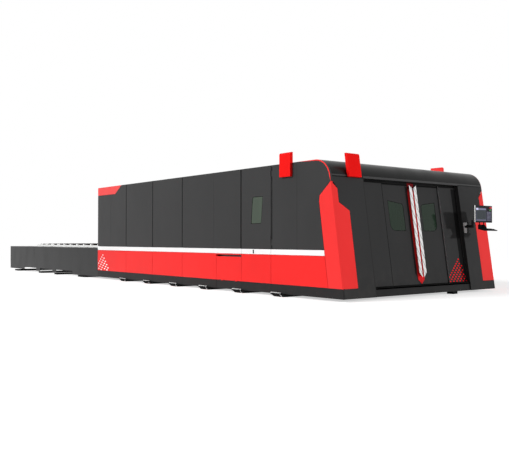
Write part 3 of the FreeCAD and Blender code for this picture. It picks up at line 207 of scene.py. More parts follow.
def on_door_end(shape):
    """A shape given as (Y, height, distance out of the door end's plane), laid on that leaning plane: the
    height gives the point on the plane, and the distance goes along the plane's normal."""
    y, z, out = shape[0].T
    x = FOOT_X - (z - FOOT_Z) * math.tan(LEAN) + out * math.cos(LEAN)
    return np.column_stack([x, y, z + out * math.sin(LEAN)]), shape[1]


def on_near_side(shape, depth=0.0):
    """A shape given as (X, Z, distance out), laid on the near side, `depth` inside it."""
    return placed(shape, (0, depth - HALF, 0), (1, 0, 0), (0, 0, 1))


def facing_front(shape, x=0.0, y=0.0, z=0.0):
    """A shape given as (Y, Z, distance forwards) from a point."""
    return placed(shape, (x, y, z), (0, 1, 0), (0, 0, 1))


def add_object(name, points, faces):
    """Object with a new mesh of the points and groups of faces, linked to the scene."""
    mesh = bpy.data.meshes.new(name)
    mesh.from_pydata(points.tolist(), [], [f for group in faces for f in group.tolist()])
    piece = bpy.data.objects.new(name, mesh)
    bpy.context.scene.collection.objects.link(piece)
    return piece


def add_piece(name, shape, material, body="machine", smooth=35.0):
    """Puts points and faces into a mesh object that rides on a body."""
    piece = add_object(name, *shape)
    mesh = piece.data
    mesh.polygons.foreach_set("use_smooth", np.ones(len(mesh.polygons), bool))
    mesh.set_sharp_from_angle(angle=math.radians(smooth))
    mesh.materials.append(finish(material))
    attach(piece, body)
    return piece


# ---- shader expressions
class Value:
    """A number in a shader. Each operation on it adds a Math node."""

    def __init__(self, shader, socket):
        self.shader, self.socket = shader, socket

    def math(self, operation, *others):
        node = self.shader.node("Math", {"operation": operation}, dict(enumerate((self, *others))))
        return Value(self.shader, node.outputs[0])

    def __add__(self, other):
        return self.math("ADD", other)

    def __sub__(self, other):
        return self.math("SUBTRACT", other)

    def __mul__(self, other):
        return self.math("MULTIPLY", other)

    def __truediv__(self, other):
        return self.math("DIVIDE", other)

    def __rsub__(self, other):
        return self * -1 + other

    def __rtruediv__(self, other):
        return self.math("POWER", -1.0) * other

    __radd__, __rmul__ = __add__, __mul__

    def __abs__(self):
        return self.math("ABSOLUTE")

    def ramp(self, low, high):
        """Rises smoothly from 0 at `low` to 1 at `high`."""
        settings = {"interpolation_type": "SMOOTHSTEP"}
        node = self.shader.node("MapRange", settings, {0: self, 1: low, 2: high})
        return Value(self.shader, node.outputs[0])

    def above(self, edge):
        """1 where the value is over the edge, else 0."""
        return self.math("GREATER_THAN", edge)

    def between(self, low, high):
        """1 between two numbers, else 0."""
        return self.above(low) * (1 - self.above(high))

    def near(self, middle, reach):
        """1 within a reach of the middle, else 0."""
        return self.between(middle - reach, middle + reach)


class Shader:
    """A material's or world's node tree, with the few calls that the finishes need."""

    def __init__(self, owner):
        owner.use_nodes = True
        self.tree = owner.node_tree
        self.tree.nodes.clear()

    def node(self, kind, settings=None, inputs=None):
        """Any node, by its type, its settings and its sockets' values or links."""
        node = self.tree.nodes.new("ShaderNode" + kind)
        for name, value in (settings or {}).items():
            setattr(node, name, value)
        for key, value in (inputs or {}).items():
            source = value.socket if isinstance(value, Value) else value
            if isinstance(source, bpy.types.NodeSocket):
                self.tree.links.new(source, node.inputs[key])
            else:
                node.inputs[key].default_value = source
        return node

    def place(self):
        """The point's X, Y and Z in the object's own axes."""
        coordinates = self.node("TexCoord").outputs["Object"]
        split = self.node("SeparateXYZ", inputs={0: coordinates})
        return [Value(self, socket) for socket in split.outputs]

    def noise(self, scale, detail=2.0, stretch=(1, 1, 1)):
        """Smooth noise about 0.5, finer with a larger scale."""
        where = self.node("TexCoord").outputs["Object"]
        if stretch != (1, 1, 1):
            where = self.node("Mapping", inputs={0: where, 3: stretch}).outputs[0]
        node = self.node("TexNoise", inputs={"Vector": where, "Scale": scale, "Detail": detail})
        return Value(self, node.outputs[0])

    def mix(self, factor, first, second):
        """One colour turning into another as the factor goes from 0 to 1."""
        first, second = [c if isinstance(c, bpy.types.NodeSocket) else (*c, 1.0) for c in (first, second)]
        node = self.node("Mix", {"data_type": "RGBA"}, {0: factor, 6: first, 7: second})
        return node.outputs[2]

    def marked(self, base, mark):
        """A colour under a mark: a mask of (x, y, z) and the mask's colour, or None."""
        return base if mark is None else self.mix(mark[0](*self.place()), base, mark[1])

    def bump(self, height, strength, distance):
        """Surface normal from a height."""
        inputs = {"Height": height, "Strength": strength, "Distance": distance}
        return self.node("Bump", inputs=inputs).outputs[0]

    def surface(self, level=0.5, **inputs):
        """The finished surface, by the shader's own socket names with underscores for spaces."""
        inputs = {key.replace("_", " "): value for key, value in inputs.items()}
        shader = self.node("BsdfPrincipled", inputs={"Specular IOR Level": level, **inputs})
        self.node("OutputMaterial", inputs={0: shader.outputs[0]})


# ---- finishes
DUST = (0.12, 0.11, 0.10)
DOT_RED = (1.0, 0.002, 0.006)


def shade(colour, factor):
    """A colour times a factor."""
    return tuple(min(1.0, c * factor) for c in colour)


def grey(level):
    return level, level, level


def paint(colour, roughness, level, dust=0.0, grain=900.0, mark=None):
    """Paint with a fine orange peel, slow changes of tone, a little dust near the floor and rubbed patches.
    `colour` is plain or a function of the user's colours, `level` the gloss, `dust` a share of the user's dust,
    `grain` the fineness of the peel, and `mark` a mask of (x, y, z) with the colour that it brings."""
    def build(shader, look):
        own = colour(look) if callable(colour) else colour
        base = shader.mix(shader.noise(0.8, 3.0).ramp(0.25, 0.75), shade(own, 0.96), shade(own, 1.04))
        low = 1 - shader.place()[2].ramp(0.05, 0.75)
        dusty = low * shader.noise(6.0, 5.0).ramp(0.35, 0.75) * (look.dust * dust)
        base = shader.marked(shader.mix(dusty, base, DUST), mark)
        rubbed = shader.noise(2.2, 4.0, (1, 1, 0.4)).ramp(0.4, 0.7)
        shader.surface(level, Base_Color=base, Roughness=rubbed * 0.09 + roughness + dusty * 0.5,
                       Normal=shader.bump(shader.noise(grain, 1.0), 0.35, 0.00012))
    return build


def grained(tone, first, second, rough, skin=None, spread=None, mark=None, metal=0.0, level=0.5):
    """Material whose colour runs from `first` to `second` with the noise `tone`, sharpened by a `spread`.
    `rough` is (noise, amount, least) of its roughness, `skin` (noise, strength, depth) of its bumps, and `mark`
    as on a paint. A noise is given by its scale and detail."""
    def build(shader, look):
        share = shader.noise(*tone)
        base = shader.mix(share if spread is None else share.ramp(*spread), first, second)
        base = shader.marked(base, mark)
        settings = {"Roughness": shader.noise(*rough[0]) * rough[1] + rough[2]}
        if skin is not None:
            settings["Normal"] = shader.bump(shader.noise(*skin[0]), *skin[1:])
        shader.surface(level, Base_Color=base, Metallic=metal, **settings)
    return build


def glass(colour, clear, level):
    """Tinted safety glass with a slow ripple and faint smears."""
    def build(shader, look):
        own = colour(look)
        smear = shader.noise(3.0, 5.0, (1, 1, 0.35)).ramp(0.45, 0.8)
        base = shader.mix(smear * 0.35, own, shade(own, 1.5))
        shader.surface(level, Base_Color=base, Roughness=smear * 0.08 + 0.05, IOR=1.45,
                       Transmission_Weight=clear, Normal=shader.bump(shader.noise(2.5, 1.0), 0.05, 0.004))
    return build


def button(colour):
    """Glossy button plastic, a little scratched."""
    def build(shader, look):
        scratches = shader.noise(160.0, 4.0, (1, 0.1, 1)).ramp(0.6, 0.75)
        base = shader.mix(scratches * 0.3, colour, shade(colour, 0.7))
        shader.surface(0.4, Base_Color=base, Roughness=scratches * 0.2 + 0.22)
    return build


# masks of (x, y, z): 1 where a finish has its mark, else 0
def dots(across, up, left, right, low, lean_left, lean_right, pitch, spacing, radius, stretch, stagger):
    """Triangle of dots on slanting lines parallel to its left edge: the lines are a spacing apart, a line's
    dots a pitch apart in height, and each line is shifted by the stagger, a share of the pitch."""
    column = ((across - left - (up - low) * lean_left) / spacing + 0.5).math("FLOOR")
    step = ((up - low) / pitch + column * stagger + 0.5).math("FLOOR") - column * stagger
    dot_up = step * pitch
    dot_across = left + dot_up * lean_left + column * spacing
    away_across = (across - dot_across) / stretch
    away_up = up - low - dot_up
    away = (away_across * away_across + away_up * away_up).math("SQRT")
    dot = 1 - away.ramp(radius * 0.85, radius * 1.15)
    limit = right - dot_up * lean_right
    return dot * step.above(-0.3) * column.above(-0.5) * (limit - dot_across).above(-0.004)


def near_band_dots(x, y, z):
    """The near side's triangle of dots, fading towards its upper left."""
    low, apex, height, lean_left, lean_right = RED_LOW + 0.024, REAR_X + 0.337, 0.42, 1.12, 0.985
    left, right = apex - height * lean_left, apex + height * lean_right
    mask = dots(x, z, left, right, low, lean_left, lean_right,
                pitch=0.0545, spacing=0.168, radius=0.0160, stretch=2.4, stagger=0.5)
    fade = (x - left - (z - low) * lean_left).ramp(-0.2, 0.55) * 0.5 + 0.5
    return mask * fade * x.above(REAR_X + 0.012) * (1 - y.above(-HALF + 0.002))


def far_panel_dots(x, y, z):
    """The door end's triangle of dots, on the far fixed panel."""
    mask = dots(y, z, left=0.731, right=1.362, low=SILL_TOP + 0.028, lean_left=1.03, lean_right=0.44,
                pitch=0.0415, spacing=0.1000, radius=0.0130, stretch=1.6, stagger=0.0)
    return mask * y.above(0.5)


def recess_shade_and_edge_line(x, y, z):
    """Painted shade on the faces turned in towards the door recess, behind the door end's plane, and a dark
    line along its near edge.
    """
    behind = (x - FOOT_X) * math.cos(LEAN) + (z - FOOT_Z) * math.sin(LEAN)
    return (1 - behind.above(-0.0025)).math("MAXIMUM", y.between(-RECESS - 0.020, -RECESS - 0.0004))


def fascia_shade_and_seam(x, y, z):
    """The recess's painted shade and dark edge line, and a band of painted shade along the fascia's lower seam
    beside the door opening, over its lit lower lip.
    """
    seam = (1 - z.above(FASCIA_LOW + 0.016)) * abs(y).above(RECESS)
    return recess_shade_and_edge_line(x, y, z).math("MAXIMUM", seam)


def fold_shade_line(x, y, z):
    """Painted shade: a faint dark upright line for the fold of the side panels ahead of the side door."""
    return x.near(FOLD_X, 0.006) * abs(y).above(HALF - 0.002) * 0.5


def roof_seams(x, y, z):
    """Seams across the roof, between sheets of one length."""
    place = (x - REAR_X) / ROOF_SHEET
    return 1 - abs(place - (place + 0.5).math("FLOOR")).above(0.003 / ROOF_SHEET)


def shoe_highlight(x, y, z):
    """Painted highlight: pale slanting line over the ends of the cabin's skids, which stand SKID_PITCH apart,
    for the light on their tops.
    """
    place = (x - SKID_X + 0.5) / SKID_PITCH
    across = place.math("FRACT") * SKID_PITCH - 0.5
    line = 1 - abs(across - (0.062 - z) * 1.3 + 0.016).above(0.006)
    return line * abs(y).above(HALF + 0.0493) * x.above(SKID_X - 0.4)


def screen_sides(x, y, z):
    """Band along the front of the screen housing's two sides."""
    low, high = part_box("monitor")
    return (1 - y.between(low.y + 0.0015, high.y - 0.0015)) * x.above(high.x - 0.022)


def bracket_painted_shade(x, y, z):
    """Painted shade: the bracket without the plates on its two sides, darkened to black around them."""
    low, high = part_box("monitor_bracket")
    sides = 1 - y.between(low.y + 0.0006, high.y - 0.0006)
    return 1 - sides * z.between(low.z + 0.008, high.z - 0.006)


def pallet_paint(shader, look):
    """Pallet frame: pale paint with slag freckles and rust where the slats stand."""
    freckles = shader.noise(90.0, 4.0).ramp(0.66, 0.74)
    rust = shader.noise(14.0, 6.0).ramp(0.66, 0.85) * 0.4
    base = shader.mix(shader.noise(1.5, 4.0), shade(look.pallet, 0.93), shade(look.pallet, 1.03))
    base = shader.mix(rust, base, (0.20, 0.10, 0.05))
    base = shader.mix(freckles * 0.5, base, (0.06, 0.055, 0.05))
    shader.surface(0.3, Base_Color=base, Roughness=freckles * 0.2 + rust * 0.3 + 0.45,
                   Normal=shader.bump(shader.noise(500.0, 2.0) + freckles * 2, 0.4, 0.0003))


def slat_steel(shader, look):
    """Hot-rolled slat: mill scale low down, heat colours and slag towards the teeth."""
    x, y, z = shader.place()
    upper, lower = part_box("upper_pallet_slats"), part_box("lower_pallet_slats")
    hot = [(z - (b[1].z - 0.075)).ramp(0.0, 0.07) * z.between(b[0].z, b[1].z + 0.01) for b in (upper, lower)]
    hot = hot[0] + hot[1] * (1 - z.above(upper[0].z))
    burnt = (hot * shader.noise(25.0, 5.0).ramp(0.2, 0.7)).ramp(0.1, 0.8)
    base = shader.mix(shader.noise(4.0, 5.0), (0.035, 0.035, 0.038), (0.085, 0.085, 0.09))
    base = shader.mix(hot * 0.5, base, (0.12, 0.085, 0.06))
    base = shader.mix(burnt, base, (0.022, 0.019, 0.018))
    shader.surface(0.15, Base_Color=base, Metallic=0.45 - burnt * 0.3,
                   Roughness=burnt * 0.3 + shader.noise(30.0, 3.0) * 0.2 + 0.45,
                   Normal=shader.bump(shader.noise(220.0, 5.0) * (burnt + 0.15), 0.7, 0.0015))


def zinc(shader, look):
    """Zinc plate: pale crystals and a dull bloom."""
    where = shader.node("TexCoord").outputs["Object"]
    cells = shader.node("TexVoronoi", inputs={"Vector": where, "Scale": 70.0})
    crystal = Value(shader, shader.node("SeparateColor", inputs={0: cells.outputs["Color"]}).outputs[0])
    base = shader.mix(crystal, (0.34, 0.345, 0.35), (0.44, 0.445, 0.45))
    shader.surface(Base_Color=base, Metallic=0.6, Roughness=crystal * 0.12 + 0.42,
                   Normal=shader.bump(shader.noise(300.0, 2.0), 0.2, 0.0002))


def display(shader, look):
    """Lit screen: a drawing field with a plain grid, a bar over it, and plain blocks beside it."""
    x, y, z = shader.place()
    low, high = screen_field()
    across = (y - low[0]) / (high[0] - low[0])
    up = (z - low[1]) / (high[1] - low[1])

    def block(u0, u1, v0, v1):
        return across.between(u0, u1) * up.between(v0, v1)

    fine = [(v * count).math("FRACT").above(0.9) for v, count in ((across, 18.0), (up, 15.0))]
    grid = fine[0].math("MAXIMUM", fine[1])
    inner = shader.mix(grid * 0.6, (0.024, 0.029, 0.035), (0.060, 0.066, 0.075))
    ring = (((across - 0.5) * 1.3).math("POWER", 2.0) + (up - 0.45).math("POWER", 2.0)).math("SQRT")
    path = ring.between(0.190, 0.200) + ring.between(0.095, 0.103)
    path = path.math("MAXIMUM", block(0.12, 0.88, 0.16, 0.76) - block(0.13, 0.87, 0.172, 0.748))
    inner = shader.mix(path * 0.4, inner, (0.09, 0.13, 0.11))
    ground = shader.mix(up, (0.105, 0.105, 0.160), (0.060, 0.060, 0.085))
    picture = shader.mix(block(0.03, 0.975, 0.10, 0.82), ground, inner)
    picture = shader.mix(block(0.24, 0.99, 0.86, 0.95) * 0.7, picture, (0.22, 0.22, 0.34))
    picture = shader.mix(block(0.0, 0.22, 0.84, 0.98), picture, (0.50, 0.50, 0.70))
    shader.surface(0.1, Base_Color=picture, Emission_Color=picture, Emission_Strength=0.4,
                   Roughness=shader.noise(10.0, 2.0) * 0.1 + 0.12)


def user(name, factor=1.0):
    """One of the user's colours times a factor."""
    return lambda look: shade(getattr(look, name), factor)


def red(green, blue):
    """Red as strong as the user's, with its own green and blue."""
    return lambda look: (look.red[0], green, blue)


FINE = 600.0  # orange peel of the gloss paints
LINES = 260.0, 3.0, (0.04, 1, 1)  # noise drawn out along X
MOULD = (1500.0, 1.0), 0.35, 0.00012  # spark-eroded skin of moulded plastic

FINISHES = {
    # the cabin's sides, with painted shade along the fold ahead of the side door
    "dark_paint": paint(user("dark"), 0.32, 0.10, 1, mark=(fold_shade_line, grey(0.008))),
    "roof_paint": paint(user("dark"), 0.55, 0.05, mark=(roof_seams, grey(0.004))),
    # door jambs: painted shade on the faces turned into the door recess, and a dark line along the near jamb's
    # inner edge
    "jamb_paint": paint(user("dark"), 0.48, 0.05, 1, mark=(recess_shade_and_edge_line, grey(0.026))),
    # the rounded fascia, with painted shade under it over the door recess and along its lower seam
    "fascia_paint": paint(user("dark", 1.35), 0.30, 0.13, mark=(fascia_shade_and_seam, grey(0.003))),
    "door_paint": paint(user("dark"), 0.48, 0.05, 1),
    "far_panel_paint": paint(user("dark"), 0.48, 0.05, 1, mark=(far_panel_dots, DOT_RED)),
    # painted shadow of the far jamb: a near-black strip on the fixed panel beside it, over which the triangle
    # of dots runs on, darkened too
    "seal_paint": paint(user("dark", 0.25), 0.6, 0.03, mark=(far_panel_dots, (0.75, *DOT_RED[1:]))),
    # painted light: a pale grey for the step on the far fixed panel's inner edge, lightened to cancel the shade
    # on it
    "edge_paint": paint(user("dark", 8), 0.5, 0.05),
    "base_paint": paint(user("dark", 0.48), 0.4, 0.09, 0.2,
                        mark=(lambda x, y, z: x.near(SKIRT_SEAM_X, 0.008), grey(0.002))),
    "table_paint": paint(user("dark", 0.62), 0.28, 0.10, 0.2),
    "black_paint": paint(grey(0.007), 0.5, 0.1),
    # black skids, with a painted highlight along their ends
    "skid_paint": paint(grey(0.003), 0.5, 0.05, mark=(shoe_highlight, grey(0.75))),
    # painted shadow: dead black for the shaded gap under the doors
    "gap_black": paint(grey(0.0010), 0.8, 0),
    "red_paint": paint(user("red"), 0.3, 0.12, 0.2, FINE),
    "red_band_paint": paint(user("red"), 0.3, 0.12, 0.2, FINE, (near_band_dots, (1, 0.97, 0.97))),
    # handle plates: painted shade at the top under the header; the colour is raised for the faces in shade, and
    # the lit foot is painted a little darker
    "plate_paint": paint((0.85, 0.024, 0.026), 0.4, 0.06, 0, FINE, (
        lambda x, y, z: z.ramp(1.90, 2.00).math("MAXIMUM", (1 - z.above(0.335)) * 0.3), (0.14, 0.006, 0.008))),
    "trim_paint": paint(red(0.031, 0.030), 0.3, 0.12, 0.2, FINE),
    "tab_paint": paint(red(0.066, 0.064), 0.3, 0.12, 0, FINE),
    # roof signs, the far one paler
    "sign_paint": paint(red(0.008, 0.007), 0.35, 0.04, 0, FINE,
                        (lambda x, y, z: y.above(1.0), (0.95, 0.050, 0.048))),
    "white_paint": paint(user("white"), 0.36, 0.3, 0.2, FINE),
    # handle bars with slanting grey stripes
    "bar_paint": paint(user("white"), 0.36, 0.3, 0, FINE, (
        lambda x, y, z: (z / 0.17 + y * 11.0).math("FRACT").between(0.0, 0.24), (0.42, 0.43, 0.43))),
    "machine_paint": paint(user("machine"), 0.45, 0.35, 1),
    "pallet_paint": pallet_paint,
    # bracket: pale grey plates on its two sides, lightened against the shade on them, and painted shade, black,
    # on the rest of the block
    "bracket_paint": grained((9, 4), grey(0.80), grey(0.92), ((40, 3), 0.2, 0.4),
                             ((700, 1), 0.3, 0.0001), mark=(bracket_painted_shade, grey(0.010)), level=0.12),
    "slat_steel": slat_steel,
    # fine lines along X and a little oil
    "ground_steel": grained(LINES, (0.46, 0.47, 0.48), (0.60, 0.61, 0.62), ((8, 3), 0.16, 0.24),
                            (LINES, 0.25, 0.0002), (0.3, 0.7), metal=1),
    "zinc": zinc,
    "black_steel": grained((60, 3), (0.018, 0.018, 0.02), (0.05, 0.05, 0.052), ((80, 2), 0.2, 0.35),
                           metal=0.7),
    "rubber": grained((12, 3), grey(0.0025), grey(0.0055), ((30, 3), 0.15, 0.62),
                      ((900, 1), 0.3, 0.0001), level=0.05),
    "door_glass": glass(user("glass"), 0.25, 0.07),
    # the side door's window is a little paler and glossier
    "side_glass": glass(lambda look: tuple(np.multiply(look.glass, (2.9, 2.2, 2.5)).tolist()), 0.2, 0.24),
    "plastic": grained((5, 3), (0.008, 0.008, 0.009), (0.014, 0.014, 0.015), ((9, 3), 0.12, 0.5),
                       MOULD, level=0.06),
    "screen_case": grained((5, 3), (0.010, 0.010, 0.012), (0.018, 0.018, 0.022), ((9, 3), 0.12, 0.40),
                           MOULD, mark=(screen_sides, (0.90, 0.90, 0.89)), level=0.08),
    "tray_plastic": grained((60, 3), (0.006, 0.006, 0.007), (0.014, 0.014, 0.015),
                            ((300, 2), 0.15, 0.6), MOULD, (0.5, 0.8), level=0.02),
    "pale_key_plastic": grained((30, 2), (0.10, 0.10, 0.16), (0.22, 0.22, 0.31), ((15, 2), 0.2, 0.35),
                                ((1500, 1), 0.2, 0.0001), (0.3, 0.7), level=0.2),
    "red_button": button((0.95, 0.02, 0.05)),
    "green_button": button((0.06, 0.36, 0.06)),
    "display": display,
}

# the machine's own pieces; a star stands for near and for far
NODE_FINISHES = {
    "machine_paint": "machine_bed table_frame control_cabinet laser_source gantry_beam head_carriage",
    "base_paint": "base_skirt_* front_sill",
    "skid_paint": "floor_skids",
    # door tracks black, also standing in for the shade under the fascia
    "black_paint": "monitor_arm door_tracks",
    "sign_paint": "roof_signs",
    "table_paint": "table_side_covers table_end_cover",
    "dark_paint": "cabin_frame upper_panels_* front_panel_near rear_wall hinge_halves side_door",
    "roof_paint": "roof_panel",
    "door_paint": "door_leaf_*",
    "jamb_paint": "front_jamb_*",
    "fascia_paint": "front_fascia",
    "tab_paint": "rear_corner_tabs",
    "far_panel_paint": "door_side_panels",
    "red_paint": "lower_panels_far side_door_lower_panel service_flap",
    "plate_paint": "door_handle_plate_*",
    "trim_paint": "edge_piping corner_trim_*",
    "red_band_paint": "lower_panels_near",
    "white_paint": "white_stripe_* side_door_stripe",
    "bar_paint": "door_handle_bar_*",
    "pallet_paint": "upper_pallet_frame lower_pallet_frame",
    "slat_steel": "upper_pallet_slats lower_pallet_slats",
    "ground_steel": "guide_rails bearing_blocks cutting_head",
    "bracket_paint": "monitor_bracket",
    "door_glass": "door_glass_*",
    "side_glass": "side_door_glass",
    "plastic": "side_door_latch",
    "tray_plastic": "keyboard_tray",
    "screen_case": "monitor",
    "red_button": "stop_button",
    "green_button": "start_button",
}


def finish(name):
    """The named finish, made once. Its material's name differs from the frame's own materials."""
    title = "finish_" + name
    material = bpy.data.materials.get(title)
    if material is None:
        material = bpy.data.materials.new(title)
        FINISHES[name](Shader(material), bpy.context.scene.cutter_colours)
    return material


def screen_field():
    """Lower and upper corner (Y, Z) of the lit field in the screen's front."""
    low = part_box("monitor")[0]
    return (low.y + 0.026, SCREEN_LOW + 0.032), (low.y + 0.356, SCREEN_HIGH - 0.046)


# ---- what a user may change
COLOUR = {"subtype": "COLOR", "size": 3, "min": 0, "max": 1}


class CutterColours(bpy.types.PropertyGroup):
    """Colours of the machine."""

    dark: bpy.props.FloatVectorProperty(
        name="Dark panels", description="Powder coat of the cabin", default=(0.0335, 0.0335, 0.034), **COLOUR)
    red: bpy.props.FloatVectorProperty(
        name="Red panels", description="Gloss paint of the lower band and the trims",
        default=(0.82, 0.020, 0.019), **COLOUR)
    white: bpy.props.FloatVectorProperty(
        name="White stripe", description="Paint of the stripe and the door handles",
        default=(0.84, 0.84, 0.84), **COLOUR)
    machine: bpy.props.FloatVectorProperty(
        name="Machine grey", description="Paint of the bed, the gantry and the cabinets",
        default=(0.30, 0.32, 0.34), **COLOUR)
    pallet: bpy.props.FloatVectorProperty(
        name="Pallets", description="Paint of the pallet frames", default=(0.84, 0.84, 0.83), **COLOUR)
    glass: bpy.props.FloatVectorProperty(
        name="Safety glass", description="Tint of the windows", default=(0.020, 0.037, 0.023), **COLOUR)
    dust: bpy.props.FloatProperty(
        name="Dust", description="Dust on the lower panels", subtype="FACTOR", default=0.12, min=0, max=1)


class CutterSizes(bpy.types.PropertyGroup):
    """Sizes of the fittings."""

    joint: bpy.props.FloatProperty(
        name="Panel joint", description="Width of the bead between two panels", unit="LENGTH", default=0.024)
    gasket: bpy.props.FloatProperty(
        name="Window gasket", description="Width of the rubber round a window", unit="LENGTH", default=0.006)
    screw: bpy.props.FloatProperty(
        name="Screw head", description="Radius of a panel screw's head", unit="LENGTH", default=0.006)
    tooth: bpy.props.FloatProperty(
        name="Slat tooth", description="Pitch of the teeth on a slat", unit="LENGTH", default=0.040)
    key: bpy.props.FloatProperty(
        name="Key pitch", description="Spacing of the keyboard's keys", unit="LENGTH", default=0.0185)


class CutterStage(bpy.types.PropertyGroup):
    """Lamps and floor."""

    key: bpy.props.FloatProperty(
        name="Key lamp", description="Strength of the lamp on the door end", default=2.2, min=0)
    fill: bpy.props.FloatProperty(
        name="Fill lamp", description="Strength of the lamp on the near side", default=3.0, min=0)
    ambient: bpy.props.FloatProperty(
        name="Room light", description="Light from all round", default=0.20, min=0)
    floor: bpy.props.FloatVectorProperty(
        name="Floor", description="Colour of the floor", default=(0.85, 0.85, 0.85), **COLOUR)


# ---- stage
CAMERA_PLACE = 15.844, -10.293, 1.031
CAMERA_AIM = 141.9035, 1.1185  # azimuth from +X and elevation, in degrees
CAMERA_LENS = 49.207  # in millimetres, before a sensor 36 mm wide
KEY_LAMP = 37.0, 13.0, 1.5  # azimuth, elevation and width, in degrees
FILL_LAMP = -112.0, 26.0, 30.0
FLOOR_RINGS = 6.0, 14.0, 30.0, 150.0  # radii
FLOOR_FADE = 11.0, 20.0  # distances from the middle where the floor starts and ends turning white
FLOOR_GLOW, FAR_LIGHT = 0.55, 0.5  # glow the camera sees on the near floor, and the far floor's light
WHITE = 1, 1, 1, 1


def direction(azimuth, elevation):
    """Unit vector from degrees from +X and from the floor."""
    a, e = math.radians(azimuth), math.radians(elevation)
    return Vector((math.cos(a) * math.cos(e), math.sin(a) * math.cos(e), math.sin(e)))


def white_to_camera(shader, strength, seen):
    """`strength` for what it lights, and `seen` where the camera sees it, mirrored or through glass."""
    path = shader.node("LightPath").outputs
    rays = [Value(shader, path[name]) for name in ("Is Camera Ray", "Is Glossy Ray", "Is Transmission Ray")]
    shown = (rays[0] + rays[1] + rays[2]).math("MINIMUM", 1.0)
    return shown * (seen - strength) + strength


class CUTTER_OT_stage(bpy.types.Operator):
    """Floor, lamps, room light and camera"""

    bl_idname = "cutter.stage"
    bl_label = "Stage"

    def execute(self, context):
        scene, stage = context.scene, context.scene.cutter_stage
        scene.view_settings.view_transform = "Standard"
        self.camera(scene)
        key = self.lamp("key_lamp", *KEY_LAMP, stage.key)
        key.visible_glossy = False
        self.lamp("fill_lamp", *FILL_LAMP, stage.fill)
        world = bpy.data.worlds.new("room")
        scene.world = world
        room = Shader(world)
        light = room.node("Background", inputs={0: WHITE, 1: white_to_camera(room, stage.ambient, 1.0)})
        room.node("OutputWorld", inputs={0: light.outputs[0]})
        self.floor(stage)
        return {"FINISHED"}

    def camera(self, scene):
        """Camera at the photograph's place, direction and lens."""
        camera = bpy.data.objects.new("camera", bpy.data.cameras.new("camera"))
        camera.data.lens, camera.data.sensor_width = CAMERA_LENS, 36.0
        camera.data.clip_start, camera.data.clip_end = 0.1, 400.0
        camera.location = CAMERA_PLACE
        camera.rotation_euler = direction(*CAMERA_AIM).to_track_quat("-Z", "Y").to_euler()
        scene.collection.objects.link(camera)
        scene.camera = camera

    def lamp(self, name, azimuth, elevation, width, strength):
        """Far lamp that shines from a direction, as wide as an angle."""
        towards = direction(azimuth, elevation)
        lamp = bpy.data.objects.new(name, bpy.data.lights.new(name, "SUN"))
        lamp.data.energy, lamp.data.angle = strength, math.radians(width)
        lamp.rotation_euler = towards.to_track_quat("Z", "Y").to_euler()
        lamp.location = towards * 20
        bpy.context.scene.collection.objects.link(lamp)
        return lamp

    def floor(self, stage):
        """Round floor, pale near the machine and white further out, where only the camera sees it so."""
        points, faces = lathe([(radius, 0.0) for radius in FLOOR_RINGS], 64)
        floor = add_object("floor", points, faces[:2])
        floor.data.flip_normals()
        material = bpy.data.materials.new("floor")
        floor.data.materials.append(material)
        shader = Shader(material)
        x, y, z = shader.place()
        away = (x * x + y * y).math("SQRT").ramp(*FLOOR_FADE)
        own = shader.node("BsdfDiffuse", inputs={0: (*stage.floor, 1.0)})
        glow = shader.node("Emission", inputs={0: WHITE, 1: white_to_camera(shader, 0.0, FLOOR_GLOW)})
        near = shader.node("AddShader", inputs={0: own.outputs[0], 1: glow.outputs[0]})
        far = shader.node("Emission", inputs={0: WHITE, 1: white_to_camera(shader, FAR_LIGHT, 1.0)})
        both = shader.node("MixShader", inputs={0: away, 1: near.outputs[0], 2: far.outputs[0]})
        shader.node("OutputMaterial", inputs={0: both.outputs[0]})


# ---- finishes on the CAD pieces
class CUTTER_OT_finishes(bpy.types.Operator):
    """Paints, metals, glass and plastics of the machine's own pieces"""

    bl_idname = "cutter.finishes"
    bl_label = "Finishes"

    def execute(self, context):
        left = set(NODES)
        for name, nodes in NODE_FINISHES.items():
            for node in nodes.replace("*", "near").split() + nodes.replace("*", "far").split():
                self.paint(NODES[node], finish(name))
                left.discard(node)
        if left:
            raise RuntimeError("no finish for " + ", ".join(sorted(left)))
        return {"FINISHED"}

    def paint(self, piece, material):
        if not piece.material_slots:
            piece.data.materials.append(material)
        for place in piece.material_slots:
            place.material = material


# ---- windows
# a window's corners, anticlockwise from outside, and their radii: (Y, Z) on the door, (X, Z) on the side door
DOOR_WINDOW = [(-0.668, 1.206), (-0.256, 1.206), (-0.256, 1.700), (-0.668, 1.752)], [0.12, 0, 0.06, 0]
SIDE_X = DOOR_X[0] + 0.355
SIDE_WINDOW = (
    [(SIDE_X - 0.046, 1.333), (SIDE_X + 0.262, 1.333), (SIDE_X + 0.308, 1.841), (SIDE_X, 1.841)],
    [0, 0.040, 0, 0.040],
)


def gasket(outline, width, sheet=0.003):
    """Rubber round a window: a lip over the sheet's edge and a foot on the glass."""
    profile = [
        (-0.5 * width, 0.0), (-0.45 * width, 0.0012), (-0.1 * width, 0.0020), (0.35 * width, 0.0014),
        (0.9 * width, -sheet + 0.0008), (width, -sheet + 0.0002), (0.02 * width, -sheet + 0.0002),
        (0.02 * width, 0.0),
    ]
    return ring_trim(outline, profile[::-1])


